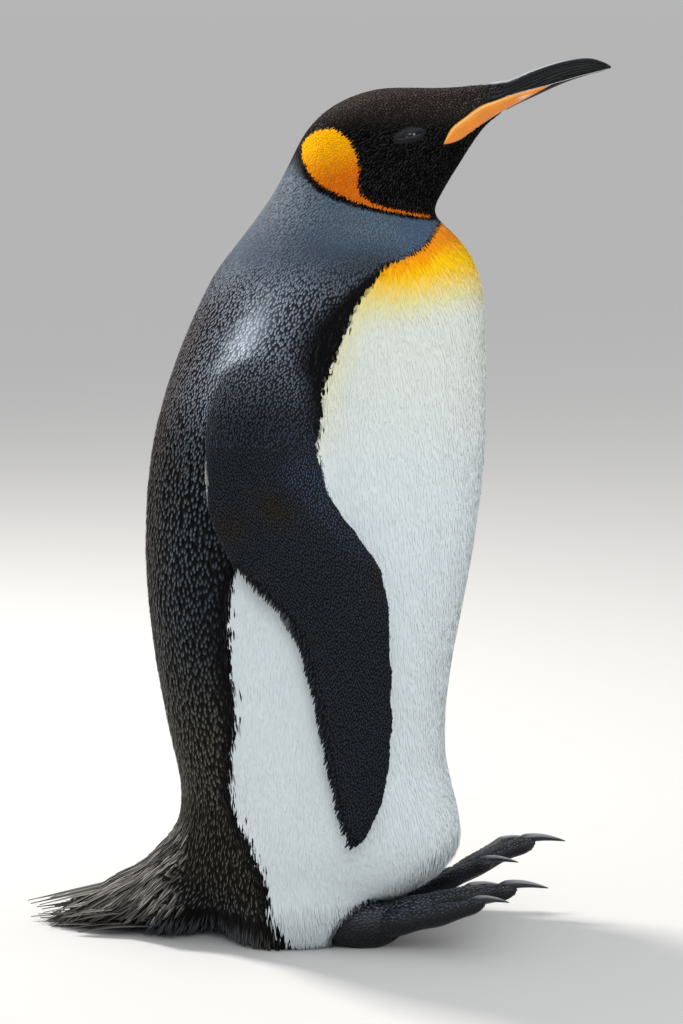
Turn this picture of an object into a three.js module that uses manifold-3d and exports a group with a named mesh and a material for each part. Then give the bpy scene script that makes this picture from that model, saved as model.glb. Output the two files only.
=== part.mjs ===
// King penguin at rest: feet rocked back on the heels, toes raised, tail propped on the ground, head drawn
// in and bill lifted. Millimetres: +X where the bird faces, +Y its left, +Z up, the ground at z = 0.
//
// One body is lofted from the bill tip to the vent, joined with the thighs and the tail root, and then parted
// by thin cuts along the lines where a bird's regions meet. Flippers, feet and eyes are set into it.

import * as THREE from "three";
import { mergeVertices } from "three/addons/utils/BufferGeometryUtils.js";
import Module from "manifold-3d";

const wasm = await Module();
wasm.setup();

// ---------------------------------------------------------------- driving dimensions

const GAP = 0.3; // clear space at every cut
const REACH = 600; // half size of the blocks that cut

const BILL_TIP_X = 266;
const TAIL_TIP_X = -287;
const CENTRING = -(BILL_TIP_X + TAIL_TIP_X) / 2; // puts the origin under the middle of the bird

// Body stations from bill tip to vent. Upper (back) line x, z; lower (front) line x, z; half width; how far
// the widest point leans to the back (+) or the front (-), as a share of the half depth; squareness.
const BODY_STATIONS = [
  { upper: [BILL_TIP_X, 806], lower: [265.5, 804.4], half: 1.2, lean: 0, square: 2 },
  { upper: [259, 810], lower: [257, 801.5], half: 2.9, lean: 0, square: 2 },
  { upper: [245, 813.5], lower: [242, 797.5], half: 4.6, lean: 0, square: 2.1 },
  { upper: [222, 811], lower: [222, 790.5], half: 6.3, lean: 0, square: 2.2 },
  { upper: [196, 803], lower: [198, 779.5], half: 8.2, lean: 0, square: 2.3 },
  { upper: [170, 792.5], lower: [174, 768], half: 9.8, lean: 0, square: 2.3 },
  { upper: [146, 789.5], lower: [156, 756], half: 13.2, lean: -0.05, square: 2.25 },
  { upper: [118, 787.5], lower: [143, 741], half: 19.5, lean: -0.05, square: 2.2 },
  { upper: [90, 788], lower: [134, 726], half: 27, lean: 0, square: 2.15 },
  { upper: [58, 788], lower: [125, 710], half: 33.5, lean: 0, square: 2.1 },
  { upper: [26, 779], lower: [117, 696], half: 39.5, lean: 0, square: 2.1 },
  { upper: [-1, 762], lower: [110.5, 684], half: 45.5, lean: 0, square: 2.1 },
  { upper: [-19, 738], lower: [106, 675], half: 52.5, lean: 0.05, square: 2.1 },
  { upper: [-31, 711], lower: [105, 670], half: 62, lean: 0.05, square: 2.1 },
  { upper: [-49, 682], lower: [110, 667], half: 72, lean: 0, square: 2.1 },
  { upper: [-72, 652], lower: [124, 656], half: 85, lean: 0, square: 2.15 },
  { upper: [-99, 617], lower: [144, 632], half: 99, lean: -0.05, square: 2.2 },
  { upper: [-120, 573], lower: [154, 594], half: 110, lean: -0.05, square: 2.2 },
  { upper: [-142, 518], lower: [156, 535], half: 120, lean: -0.05, square: 2.2 },
  { upper: [-158, 452], lower: [156, 463], half: 128, lean: -0.05, square: 2.2 },
  { upper: [-164, 380], lower: [149, 388], half: 133, lean: -0.05, square: 2.2 },
  { upper: [-161, 310], lower: [135, 308], half: 134, lean: -0.05, square: 2.2 },
  { upper: [-152, 242], lower: [122.5, 240], half: 131, lean: -0.05, square: 2.2 },
  { upper: [-139, 178], lower: [118.5, 176], half: 127, lean: -0.05, square: 2.2 },
  { upper: [-130, 130], lower: [128, 128], half: 124, lean: -0.05, square: 2.2 },
  { upper: [-138, 92], lower: [137, 94], half: 118, lean: 0, square: 2.3 },
  { upper: [-146, 60], lower: [122, 62], half: 107, lean: 0, square: 2.4 },
  { upper: [-138, 32], lower: [90, 42], half: 90, lean: 0, square: 2.5 },
  { upper: [-112, 14], lower: [50, 28], half: 62, lean: 0, square: 2.5 },
];
const BODY_SIDES = 24;
const BODY_RINGS = 41;

// Where the body is parted: each seam runs from a point on the back line to one on the front line (x, z).
const HOOD_SEAM = { back: [-20, 722], front: [105, 673] };
const COLLAR_SEAM = { back: [-104, 606], front: [147, 628] };
const CHEST_SEAM = { back: [-167, 400], front: [151, 396] };
const RUMP_SEAM = { back: [-137, 170], front: [119, 160] };
const THIGH_SEAM_Z = 60;
const TAIL_SEAM_X = -92;

// The bill's edges in side view (x, z): the line between its halves, from the corner of the mouth to the tip.
const BILL_LINE = [[116, 737], [123, 751], [135, 761], [148, 770.5], [166, 777.5], [186, 783.5], [210, 789.5]];
const UPPER_HORN_X = 148; // the line bounds horn from here on
const LOWER_HORN_X = 166;
const BILL_LINE_FRONT = [[236, 797], [262, 803.5], [290, 812]];
const CULMEN_ROOT = [168, 791]; // the feathers' foremost point on top of the bill
const NOSTRIL_ROOT = [152, 777]; // the feathers' edge at the side
const CHIN_ROOT = [172, 766]; // the feathers' foremost point under the bill
const BELOW_BILL_Z = 700;
const PLATE_LOWER_EDGE = [[208, 786.5], [193, 779], [166, 764.5], [148, 752.5], [134, 742], [124, 737.5]];
const PLATE_THICKNESS = 0.9;

const EYE = { at: [84.5, 744], depth: 25.5, radius: 10.5, segments: [12, 7] };

// Flipper stations from shoulder to tip: leading edge and trailing edge (x, distance from the middle of the
// bird, z); half thickness.
const FLIPPER_STATIONS = [
  { lead: [-4, 88, 592], trail: [-62, 78, 580], half: 7 },
  { lead: [6, 110, 540], trail: [-86, 96, 518], half: 18 },
  { lead: [8, 128, 480], trail: [-93, 116, 456], half: 19.5 },
  { lead: [26, 139, 428], trail: [-88, 133, 412], half: 15.5 },
  { lead: [54, 145, 395], trail: [-73, 142, 375], half: 12.5 },
  { lead: [75, 147.5, 362], trail: [-44, 147, 345], half: 10.5 },
  { lead: [81.5, 147, 320], trail: [-14, 147, 314], half: 9.5 },
  { lead: [83, 144, 268], trail: [2.5, 144, 270], half: 8.5 },
  { lead: [83.5, 140.5, 218], trail: [13.5, 140.5, 218], half: 7.5 },
  { lead: [79, 137, 170], trail: [23, 137, 168], half: 6.2 },
  { lead: [69, 133.5, 137], trail: [32, 133.5, 130], half: 4.6 },
  { lead: [56, 131.5, 113], trail: [39, 131.5, 110.5], half: 2.6 },
  { lead: [49, 131, 107.5], trail: [45, 131, 107], half: 1.2 },
];
const FLIPPER_SIDES = 12;
const FLIPPER_RINGS = 18;
const FLIPPER_SQUARE = 1.7; // under 2 sharpens the leading and trailing edges
const ELBOW_SEAM = { back: [-56, 352], front: [74, 368] };

// Thigh: the feathered leg down to the heel. Height, rear x, front x, half width.
const THIGH_STATIONS = [
  { z: 170, rear: -70, front: 50, half: 30 },
  { z: 110, rear: -82, front: 84, half: 47 },
  { z: 60, rear: -96, front: 74, half: 50 },
  { z: 28, rear: -86, front: 48, half: 45 },
  { z: 8, rear: -74, front: 32, half: 37 },
  { z: -6, rear: -60, front: 20, half: 26 },
];
const THIGH_OUT = 60;
const THIGH_SIDES = 14;
const THIGH_RINGS = 7;

// Foot: thick toes swing out from the ankle and rise towards their ends.
const ANKLE = { x: 42, out: 60, z: 21, size: [37, 24, 29] };
const TOE_ROOT_Z = 20;
const TOE_RISE = {
  // share of the length, height for the middle toe; the left foot is rocked back a little further
  left: [[0, 0], [0.25, 5], [0.44, 14], [0.58, 24], [0.78, 39], [0.9, 46], [1, 50]],
  right: [[0, 0], [0.27, 12], [0.47, 21], [0.64, 27.5], [0.845, 34], [1, 39]],
};
const TOES = [
  { name: "inner", turn: -12, length: 112, root: 14.5, tip: 7.6, claw: 25, arch: -3 },
  { name: "middle", turn: 5, length: 148, root: 15.5, tip: 8.2, claw: 29, arch: 0 },
  { name: "outer", turn: 20, length: 128, root: 15, tip: 7.8, claw: 24, arch: -8 },
];
const MIDDLE_TOE = TOES[1];
const HALLUX = { name: "hallux", turn: -54, length: 38, root: 6, tip: 4, claw: 9, arch: -5 };
const FOOT_AHEAD = { left: 9, right: 0 };
const TOE_SIDES = 8;
const TOE_RINGS = 6;
const TOE_FLATNESS = 0.92; // height over width
const TOE_TIP_SHRINK = 0.6; // the last ring of a toe, against the one its taper gives
const KNUCKLES = 3;
const KNUCKLE_SWELL = 0.06; // share of the radius that a knuckle adds
const WEB_REACH = 0.8; // share of the shorter toe that the web fills
const WEB_HALF_THICKNESS = 2.2;
const WEB_RINGS = 5;
const WEB_SIDES = 6;
const WEB_SQUARE = 3;
const ANKLE_SEGMENTS = [10, 6];
const CLAW_SIDES = 6;
const CLAW_RINGS = 5;
const CLAW_ARCH = 7; // how high a middle claw bows above the straight line to its tip
const CLAW_ROOT = 0.93; // share of the toe's length where the claw starts
const CLAW_SLOPE = 0.45; // how much of the toe's own rise the claw keeps
const CLAW_ROOT_WIDTH = 0.62; // share of the toe's tip
const CLAW_TIP_RADIUS = 0.7;
const CLAW_TAPER = 1.3;
const CLAW_FLATNESS = 0.9;

// Tail: a root that runs on from the rump, and stiff feathers fanned in three layers from its end.
const TAIL_STATIONS = [
  { upper: [-70, 138], lower: [-70, 12], half: 66 },
  { upper: [-138, 94], lower: [-118, 0], half: 83 },
  { upper: [-163, 65], lower: [-152, -3], half: 70 },
  { upper: [-190, 50], lower: [-185, -3], half: 54 },
  { upper: [-213, 37], lower: [-209, 0], half: 37 },
  { upper: [-226, 22], lower: [-223, 5], half: 18 },
];
const TAIL_SIDES = 14;
const TAIL_RINGS = 7;
const TAIL_SQUARE = 2.2;
const TAIL_FAN_POWER = 1.4; // how late in the fan the outer feathers get shorter
const TAIL_FEATHER_ROOT_X = -158;
const TAIL_LAYERS = [
  { count: 5, rootOut: 34, tipOut: 38, root: 56, tip: 13.5, sag: 22, reach: TAIL_TIP_X, shorten: 58 },
  { count: 4, rootOut: 36, tipOut: 40, root: 31, tip: 8, sag: 4, reach: -276, shorten: 44 },
  { count: 5, rootOut: 36, tipOut: 44, root: 4.5, tip: 1.2, sag: 0, reach: -280, shorten: 56 },
];
const TAIL_FEATHER = { half: 8.5, tipHalf: 1.8, thickness: 2.6, tipThickness: 1.3, sides: 6, rings: 4 };

const FINISHES = {
  hood: { color: 0x14110f, roughness: 0.75, metalness: 0 },
  collar: { color: 0x5f7688, roughness: 0.65, metalness: 0 },
  back: { color: 0x2b333c, roughness: 0.6, metalness: 0 },
  belly: { color: 0xe9e8de, roughness: 0.7, metalness: 0 },
  tail: { color: 0x1f1d1c, roughness: 0.6, metalness: 0 },
  flipper: { color: 0x1d2430, roughness: 0.55, metalness: 0 },
  horn: { color: 0x11141b, roughness: 0.28, metalness: 0 },
  plate: { color: 0xe08a24, roughness: 0.35, metalness: 0 },
  eye: { color: 0x1b0f0a, roughness: 0.08, metalness: 0 },
  foot: { color: 0x1a1d24, roughness: 0.5, metalness: 0 },
  claw: { color: 0x2a2723, roughness: 0.35, metalness: 0 },
};

const SIDES = [
  { side: "left", sign: 1 },
  { side: "right", sign: -1 },
];

// ---------------------------------------------------------------- geometry helpers

// A closed ring round a section: from its upper point to its lower point one way, and along `across` the
// other way. `square` is the superellipse power and `lean` moves the widest point towards the upper side.
function ring({ upper, lower, across, sides, square = 2, lean = 0 }) {
  const middle = upper.clone().add(lower).multiplyScalar(0.5);
  const along = upper.clone().sub(lower).multiplyScalar(0.5);
  const bend = (value) => Math.sign(value) * Math.abs(value) ** (2 / square);
  return Array.from({ length: sides }, (_, k) => {
    const angle = (2 * Math.PI * k) / sides;
    const rise = bend(Math.cos(angle)) + lean * Math.sin(angle) ** 2;
    const spread = bend(Math.sin(angle));
    return middle.clone().addScaledVector(along, rise).addScaledVector(across, spread);
  });
}

// The closed skin over a row of rings, with a fan over each end.
function loft(rings) {
  const sides = rings[0].length;
  const points = rings.flat();
  const ends = [rings[0], rings.at(-1)].map((end) =>
    end.reduce((sum, point) => sum.add(point), new THREE.Vector3()).divideScalar(sides),
  );
  const [firstEnd, lastEnd] = [points.length, points.length + 1];
  const lastRing = (rings.length - 1) * sides;
  const faces = [];
  for (let k = 0; k < sides; k += 1) {
    const next = (k + 1) % sides;
    faces.push(firstEnd, next, k, lastEnd, lastRing + k, lastRing + next);
    for (let row = 0; row < lastRing; row += sides) {
      faces.push(row + k, row + next, row + sides + k);
      faces.push(row + next, row + sides + next, row + sides + k);
    }
  }
  const geometry = new THREE.BufferGeometry().setFromPoints([...points, ...ends]);
  return geometry.setIndex(faces);
}

function signedVolume(geometry) {
  const index = geometry.getIndex();
  const position = geometry.getAttribute("position");
  const [a, b, c] = [new THREE.Vector3(), new THREE.Vector3(), new THREE.Vector3()];
  let total = 0;
  for (let i = 0; i < index.count; i += 3) {
    a.fromBufferAttribute(position, index.getX(i));
    b.fromBufferAttribute(position, index.getX(i + 1));
    c.fromBufferAttribute(position, index.getX(i + 2));
    total += a.dot(b.cross(c)) / 6;
  }
  return total;
}

// A three.js geometry as a manifold solid whose faces point out.
function solid(geometry) {
  const bare = new THREE.BufferGeometry();
  bare.setAttribute("position", geometry.getAttribute("position").clone());
  if (geometry.getIndex()) {
    bare.setIndex(geometry.getIndex());
  }
  const merged = mergeVertices(bare, 1e-4);
  const triVerts = Uint32Array.from(merged.getIndex().array);
  if (signedVolume(merged) < 0) {
    triVerts.reverse();
  }
  const vertProperties = Float32Array.from(merged.getAttribute("position").array);
  return new wasm.Manifold(new wasm.Mesh({ numProp: 3, vertProperties, triVerts }));
}

// Even steps through a list of equal-length number rows, on a smooth curve.
function smoothRows(rows, count) {
  const columns = rows[0].map((_, column) => rows.map((row) => row[column]));
  const curves = columns.map((values) => new THREE.SplineCurve(values.map((v) => new THREE.Vector2(v, 0))));
  return Array.from({ length: count }, (_, step) =>
    curves.map((curve) => curve.getPoint(step / (count - 1)).x),
  );
}

// A solid that fills a side-view outline (x, z) right through the bird.
function throughBlock(outline) {
  const shape = new THREE.Shape(outline.map(([x, z]) => new THREE.Vector2(x, z)));
  const block = new THREE.ExtrudeGeometry(shape, { depth: 2 * REACH, bevelEnabled: false });
  block.rotateX(Math.PI / 2);
  block.translate(0, REACH, 0);
  return solid(block);
}

// Both parts of a body on each side of a seam: [above or ahead, below or behind].
function part(body, { back, front }) {
  const along = new THREE.Vector2(front[0] - back[0], front[1] - back[1]).normalize();
  const normal = [-along.y, 0, along.x];
  const offset = normal[0] * back[0] + normal[2] * back[1];
  const away = normal.map((value) => -value);
  return [body.trimByPlane(normal, offset + GAP / 2), body.trimByPlane(away, -offset + GAP / 2)];
}

function halfOnSide(body, sign) {
  return body.trimByPlane([0, sign, 0], GAP / 2);
}

const aboveGround = (body) => body.trimByPlane([0, 0, 1], 0);

// ---------------------------------------------------------------- body, thighs and tail root

function bodySolid(grow = 0) {
  const rows = BODY_STATIONS.map(({ upper, lower, half, lean, square }) => [
    ...upper, ...lower, half, lean, square,
  ]);
  const rings = smoothRows(rows, BODY_RINGS).map(([ux, uz, lx, lz, half, lean, square]) => {
    const upper = new THREE.Vector3(ux, 0, uz);
    const lower = new THREE.Vector3(lx, 0, lz);
    const out = upper.clone().sub(lower).setLength(grow);
    const across = new THREE.Vector3(0, half + grow, 0);
    return ring({ upper: upper.add(out), lower: lower.sub(out), across, sides: BODY_SIDES, square, lean });
  });
  return solid(loft(rings));
}

function thighSolid(sign) {
  const rows = THIGH_STATIONS.map(({ z, rear, front, half }) => [z, rear, front, half]);
  const rings = smoothRows(rows, THIGH_RINGS).map(([z, rear, front, half]) =>
    ring({
      upper: new THREE.Vector3(front, sign * THIGH_OUT, z),
      lower: new THREE.Vector3(rear, sign * THIGH_OUT, z),
      across: new THREE.Vector3(0, half, 0),
      sides: THIGH_SIDES,
    }),
  );
  return solid(loft(rings));
}

function tailRootSolid() {
  const rows = TAIL_STATIONS.map(({ upper, lower, half }) => [...upper, ...lower, half]);
  const rings = smoothRows(rows, TAIL_RINGS).map(([ux, uz, lx, lz, half]) =>
    ring({
      upper: new THREE.Vector3(ux, 0, uz),
      lower: new THREE.Vector3(lx, 0, lz),
      across: new THREE.Vector3(0, half, 0),
      sides: TAIL_SIDES,
      square: TAIL_SQUARE,
    }),
  );
  return solid(loft(rings));
}

// One stiff tail feather: a lens-shaped strip from the tail root to its pointed tip.
function tailFeatherSolid(layer, place) {
  const tipX = layer.reach + layer.shorten * Math.abs(place) ** TAIL_FAN_POWER;
  const rootZ = layer.root - layer.sag * place ** 2;
  const rings = Array.from({ length: TAIL_FEATHER.rings }, (_, step) => {
    const share = step / (TAIL_FEATHER.rings - 1);
    const x = THREE.MathUtils.lerp(TAIL_FEATHER_ROOT_X, tipX, share);
    const y = place * THREE.MathUtils.lerp(layer.rootOut, layer.tipOut, share);
    const z = THREE.MathUtils.lerp(rootZ, layer.tip, share);
    const taper = share ** 4;
    const half = THREE.MathUtils.lerp(TAIL_FEATHER.half, TAIL_FEATHER.tipHalf, taper);
    const thick = THREE.MathUtils.lerp(TAIL_FEATHER.thickness, TAIL_FEATHER.tipThickness, share);
    return ring({
      upper: new THREE.Vector3(x, y, z + thick),
      lower: new THREE.Vector3(x, y, z - thick),
      across: new THREE.Vector3(0, half, 0),
      sides: TAIL_FEATHER.sides,
    });
  });
  return solid(loft(rings));
}

function tailFeathers() {
  return TAIL_LAYERS.flatMap((layer) =>
    Array.from({ length: layer.count }, (_, k) =>
      tailFeatherSolid(layer, (2 * k) / (layer.count - 1) - 1),
    ),
  );
}

// ---------------------------------------------------------------- flippers

function flipperSolid(sign, grow = 0) {
  const rows = FLIPPER_STATIONS.map(({ lead, trail, half }) => [...lead, ...trail, half]);
  const rings = smoothRows(rows, FLIPPER_RINGS).map(([leadX, leadOut, leadZ, trailX, trailOut, trailZ, half]) => {
    const upper = new THREE.Vector3(leadX, sign * leadOut, leadZ);
    const lower = new THREE.Vector3(trailX, sign * trailOut, trailZ);
    const spread = upper.clone().sub(lower).setLength(grow);
    const across = new THREE.Vector3(0, half + grow, 0);
    return ring({
      upper: upper.add(spread), lower: lower.sub(spread), across, sides: FLIPPER_SIDES, square: FLIPPER_SQUARE,
    });
  });
  return solid(loft(rings));
}

// ---------------------------------------------------------------- feet

// A point on a toe's centre line at a share of its length, in the bird's own place.
function toePoint({ side, sign }, toe, share) {
  const turn = THREE.MathUtils.degToRad(toe.turn);
  const rise = new THREE.SplineCurve(TOE_RISE[side].map(([along, height]) => new THREE.Vector2(along, height)));
  const arch = toe.arch * Math.sin(Math.PI * share);
  const height = arch + rise.getPoint(share).y * (toe.length / MIDDLE_TOE.length);
  const ahead = toe.length * share;
  return new THREE.Vector3(
    ANKLE.x + FOOT_AHEAD[side] + ahead * Math.cos(turn),
    sign * (ANKLE.out + ahead * Math.sin(turn)),
    TOE_ROOT_Z + height,
  );
}

function acrossToe(sign, toe, length) {
  const turn = THREE.MathUtils.degToRad(toe.turn);
  return new THREE.Vector3(-sign * Math.sin(turn), Math.cos(turn), 0).setLength(length);
}

function toeSolid(place, toe, grow) {
  const rings = Array.from({ length: TOE_RINGS }, (_, step) => {
    const share = step / (TOE_RINGS - 1);
    const centre = toePoint(place, toe, share);
    const knuckle = 1 + KNUCKLE_SWELL * Math.cos(2 * Math.PI * KNUCKLES * share);
    const rounded = step === TOE_RINGS - 1 ? TOE_TIP_SHRINK : 1;
    const radius = THREE.MathUtils.lerp(toe.root, toe.tip, share) * knuckle * rounded + grow;
    const rise = new THREE.Vector3(0, 0, radius * TOE_FLATNESS);
    return ring({
      upper: centre.clone().add(rise),
      lower: centre.clone().sub(rise),
      across: acrossToe(place.sign, toe, radius),
      sides: TOE_SIDES,
    });
  });
  return solid(loft(rings));
}

function webSolid(place, toe, neighbour, grow) {
  const reach = WEB_REACH * Math.min(toe.length, neighbour.length);
  const rings = Array.from({ length: WEB_RINGS }, (_, step) => {
    const ahead = (reach * (step + 0.5)) / (WEB_RINGS - 0.5);
    const from = toePoint(place, toe, ahead / toe.length);
    const to = toePoint(place, neighbour, ahead / neighbour.length);
    const centre = from.clone().add(to).multiplyScalar(0.5);
    const rise = new THREE.Vector3(0, 0, WEB_HALF_THICKNESS + grow);
    return ring({
      upper: centre.clone().add(rise),
      lower: centre.clone().sub(rise),
      across: to.clone().sub(from).multiplyScalar(0.5),
      sides: WEB_SIDES,
      square: WEB_SQUARE,
    });
  });
  return solid(loft(rings));
}

function ankleSolid({ side, sign }, grow) {
  const [length, width, height] = ANKLE.size.map((size) => size + grow);
  const ball = new THREE.SphereGeometry(1, ...ANKLE_SEGMENTS);
  ball.scale(length, width, height);
  ball.translate(ANKLE.x + FOOT_AHEAD[side], sign * ANKLE.out, ANKLE.z);
  return solid(ball);
}

function footSolid(place, grow = 0) {
  const pieces = [ankleSolid(place, grow)];
  [...TOES, HALLUX].forEach((toe) => pieces.push(toeSolid(place, toe, grow)));
  TOES.slice(1).forEach((toe, k) => pieces.push(webSolid(place, TOES[k], toe, grow)));
  return pieces.reduce((sum, piece) => sum.add(piece));
}

// A claw grows from its toe's end, bows upwards and comes to a point ahead.
function clawSolid(place, toe, grow = 0) {
  const root = toePoint(place, toe, CLAW_ROOT);
  const before = toePoint(place, toe, WEB_REACH);
  const ahead = root.clone().sub(before).normalize();
  ahead.z *= CLAW_SLOPE;
  ahead.normalize();
  const length = toe.claw + toe.length * (1 - CLAW_ROOT);
  const rings = Array.from({ length: CLAW_RINGS }, (_, step) => {
    const share = step / (CLAW_RINGS - 1);
    const arch = CLAW_ARCH * Math.sin(Math.PI * (0.25 + 0.75 * share)) * (toe.claw / MIDDLE_TOE.claw);
    const centre = root.clone().addScaledVector(ahead, length * share);
    centre.z += arch;
    const taper = share ** CLAW_TAPER;
    const radius = THREE.MathUtils.lerp(toe.tip * CLAW_ROOT_WIDTH, CLAW_TIP_RADIUS, taper) + grow;
    const rise = new THREE.Vector3(0, 0, radius * CLAW_FLATNESS);
    return ring({
      upper: centre.clone().add(rise),
      lower: centre.clone().sub(rise),
      across: acrossToe(place.sign, toe, radius),
      sides: CLAW_SIDES,
    });
  });
  return solid(loft(rings));
}

// ---------------------------------------------------------------- bill and eyes

// Side-view blocks that pick the horn of each half of the bill out of the body.
function billBlocks() {
  const farAhead = [REACH, BILL_LINE_FRONT.at(-1)[1]];
  const line = [...BILL_LINE, ...BILL_LINE_FRONT, farAhead];
  const upperLine = line.filter(([x]) => x >= UPPER_HORN_X);
  const above = [[REACH, REACH * 2], [CULMEN_ROOT[0], REACH * 2]];
  const upper = throughBlock([NOSTRIL_ROOT, ...upperLine, ...above, CULMEN_ROOT]);
  const lowerLine = line.filter(([x]) => x >= LOWER_HORN_X).map(([x, z]) => [x, z - GAP]);
  const below = [[CHIN_ROOT[0], BELOW_BILL_Z], [REACH, BELOW_BILL_Z]];
  const lower = throughBlock([CHIN_ROOT, ...below, ...lowerLine.toReversed()]);
  return { upper, lower };
}

function plateSolid(sign) {
  const outline = throughBlock([...BILL_LINE, ...PLATE_LOWER_EDGE]);
  const shell = bodySolid(GAP + PLATE_THICKNESS).subtract(bodySolid(GAP));
  return halfOnSide(shell.intersect(outline), sign);
}

function eyeSolid(sign, grow = 0) {
  const ball = new THREE.SphereGeometry(EYE.radius + grow, ...EYE.segments);
  ball.translate(EYE.at[0], sign * EYE.depth, EYE.at[1]);
  return solid(ball);
}

// ---------------------------------------------------------------- the bird

function buildNodes() {
  const nodes = [];
  const keep = (name, finish, body) => nodes.push({ name, finish, body });

  const whole = bodySolid();
  const { upper, lower } = billBlocks();
  const billUpper = whole.intersect(upper);
  const billLower = whole.intersect(lower);
  const clearUpper = upper.translate([-GAP, 0, -GAP]).add(upper);
  const clearLower = lower.translate([-GAP, 0, GAP]).add(lower);
  const [hoodWithBill, belowHood] = part(whole, HOOD_SEAM);
  let head = hoodWithBill.subtract(clearUpper).subtract(clearLower);

  const thighs = SIDES.map(({ sign }) => thighSolid(sign));
  let trunk = aboveGround(belowHood.add(thighs[0]).add(thighs[1]).add(tailRootSolid()));

  SIDES.forEach((place) => {
    const { side, sign } = place;
    head = head.subtract(eyeSolid(sign, GAP));
    keep(`eye_${side}`, "eye", eyeSolid(sign));
    keep(`mandible_plate_${side}`, "plate", plateSolid(sign));

    trunk = trunk.subtract(flipperSolid(sign, GAP));
    const [arm, hand] = part(flipperSolid(sign), ELBOW_SEAM);
    keep(`flipper_arm_${side}`, "flipper", arm);
    keep(`flipper_hand_${side}`, "flipper", hand);

    trunk = trunk.subtract(footSolid(place, GAP));
    let foot = aboveGround(footSolid(place));
    [...TOES, HALLUX].forEach((toe) => {
      foot = foot.subtract(clawSolid(place, toe, GAP));
      keep(`claw_${toe.name}_${side}`, "claw", clawSolid(place, toe));
    });
    keep(`foot_${side}`, "foot", foot);
  });

  const [neck, belowCollar] = part(trunk, COLLAR_SEAM);
  const [chest, belowChest] = part(belowCollar, CHEST_SEAM);
  const [belly, belowBelly] = part(belowChest, RUMP_SEAM);
  const [rump, base] = part(belowBelly, { back: [0, THIGH_SEAM_Z], front: [1, THIGH_SEAM_Z] });
  const tailSeam = { back: [TAIL_SEAM_X, 0], front: [TAIL_SEAM_X, 1] };
  const [tailRoot, legs] = part(base, tailSeam);
  const tail = tailFeathers().reduce((sum, feather) => sum.add(aboveGround(feather)), tailRoot);

  keep("head", "hood", head);
  keep("bill_upper", "horn", billUpper);
  keep("bill_lower", "horn", billLower);
  keep("neck", "collar", neck);
  keep("chest", "back", chest);
  keep("belly", "belly", belly);
  keep("rump", "belly", rump);
  keep("tail", "tail", tail);
  SIDES.forEach(({ side, sign }) => keep(`leg_${side}`, "belly", halfOnSide(legs, sign)));
  return nodes;
}

function meshOf({ name, finish, body }) {
  const { vertProperties, triVerts, numProp } = body.getMesh();
  const geometry = new THREE.BufferGeometry();
  geometry.setAttribute("position", new THREE.BufferAttribute(vertProperties, numProp));
  geometry.setIndex(new THREE.BufferAttribute(triVerts, 1));
  const mesh = new THREE.Mesh(geometry, new THREE.MeshStandardMaterial(FINISHES[finish]));
  mesh.name = name;
  return mesh;
}

const penguin = new THREE.Group();
buildNodes().forEach((node) => penguin.add(meshOf(node)));
penguin.position.x = CENTRING;
penguin.updateMatrixWorld(true);

export default penguin;
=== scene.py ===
"""A king penguin at rest: skin, plumage, bill, eyes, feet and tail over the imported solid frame."""

import logging
import math
from collections.abc import Callable
from dataclasses import dataclass, field
from enum import Enum

import bmesh
import bpy
import numpy as np
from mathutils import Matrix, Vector
from mathutils.bvhtree import BVHTree
from mathutils.kdtree import KDTree


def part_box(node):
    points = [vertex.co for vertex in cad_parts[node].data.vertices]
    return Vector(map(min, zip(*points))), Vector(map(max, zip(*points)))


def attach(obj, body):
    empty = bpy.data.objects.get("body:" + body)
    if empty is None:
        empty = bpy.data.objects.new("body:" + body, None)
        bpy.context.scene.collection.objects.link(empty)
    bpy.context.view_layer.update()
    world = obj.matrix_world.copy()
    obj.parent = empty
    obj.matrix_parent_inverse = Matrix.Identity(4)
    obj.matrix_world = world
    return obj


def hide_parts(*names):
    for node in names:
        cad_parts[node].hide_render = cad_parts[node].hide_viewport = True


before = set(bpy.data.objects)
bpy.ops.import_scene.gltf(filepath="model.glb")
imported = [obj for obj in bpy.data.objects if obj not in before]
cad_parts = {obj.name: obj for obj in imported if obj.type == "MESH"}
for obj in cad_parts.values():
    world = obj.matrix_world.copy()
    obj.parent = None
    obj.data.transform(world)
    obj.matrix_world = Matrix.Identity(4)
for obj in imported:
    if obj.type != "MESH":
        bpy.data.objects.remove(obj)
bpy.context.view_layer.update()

log = logging.getLogger("penguin")

MM = 0.001
ORIGIN_X = 10.5  # the tables below start from the middle of the back; the frame is this far ahead of it
BODY = "root"  # the frame's body that every piece rides
SEED = 20
OFF_FLOOR = 0.0002  # how far feathers and soles stay clear of the floor
Points = Rows = np.ndarray
Table, Chance = tuple[tuple[float, ...], ...], np.random.Generator
Material, Piece = bpy.types.Material, bpy.types.Object
Groups, Socket = dict[str, bpy.types.NodeTree], bpy.types.NodeSocket


class Side(Enum):
    """The bird's left is +Y."""

    LEFT = 1
    RIGHT = -1

    @property
    def label(self) -> str:
        """The suffix of the side's piece names."""
        return self.name.lower()


class Slot(Enum):
    """The record's material slots."""

    HOOD, COLLAR, BACK, BELLY, TAIL = "hood", "collar", "back", "belly", "tail"
    FLIPPER, HORN, PLATE, EYE, FOOT, CLAW = "flipper", "horn", "plate", "eye", "foot", "claw"


def ease(low: float, high: float, value: Rows | float) -> Rows:
    """A soft step from 0 at low to 1 at high."""
    share = np.clip((value - low) / (high - low), 0, 1)
    return share * share * (3 - 2 * share)


def mix(first: Rows, second: Rows, share: Rows) -> Rows:
    """Each row of first blended towards second by its own share."""
    share = np.asarray(share)[..., None]
    return first * (1 - share) + second * share


def dyed(pair: tuple[Rows, ...], over: tuple[Rows, ...], share: Rows) -> tuple[Rows, ...]:
    """Each of a pair of colours blended towards its own other colour."""
    return tuple(mix(old, new, share) for old, new in zip(pair, over))


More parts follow.
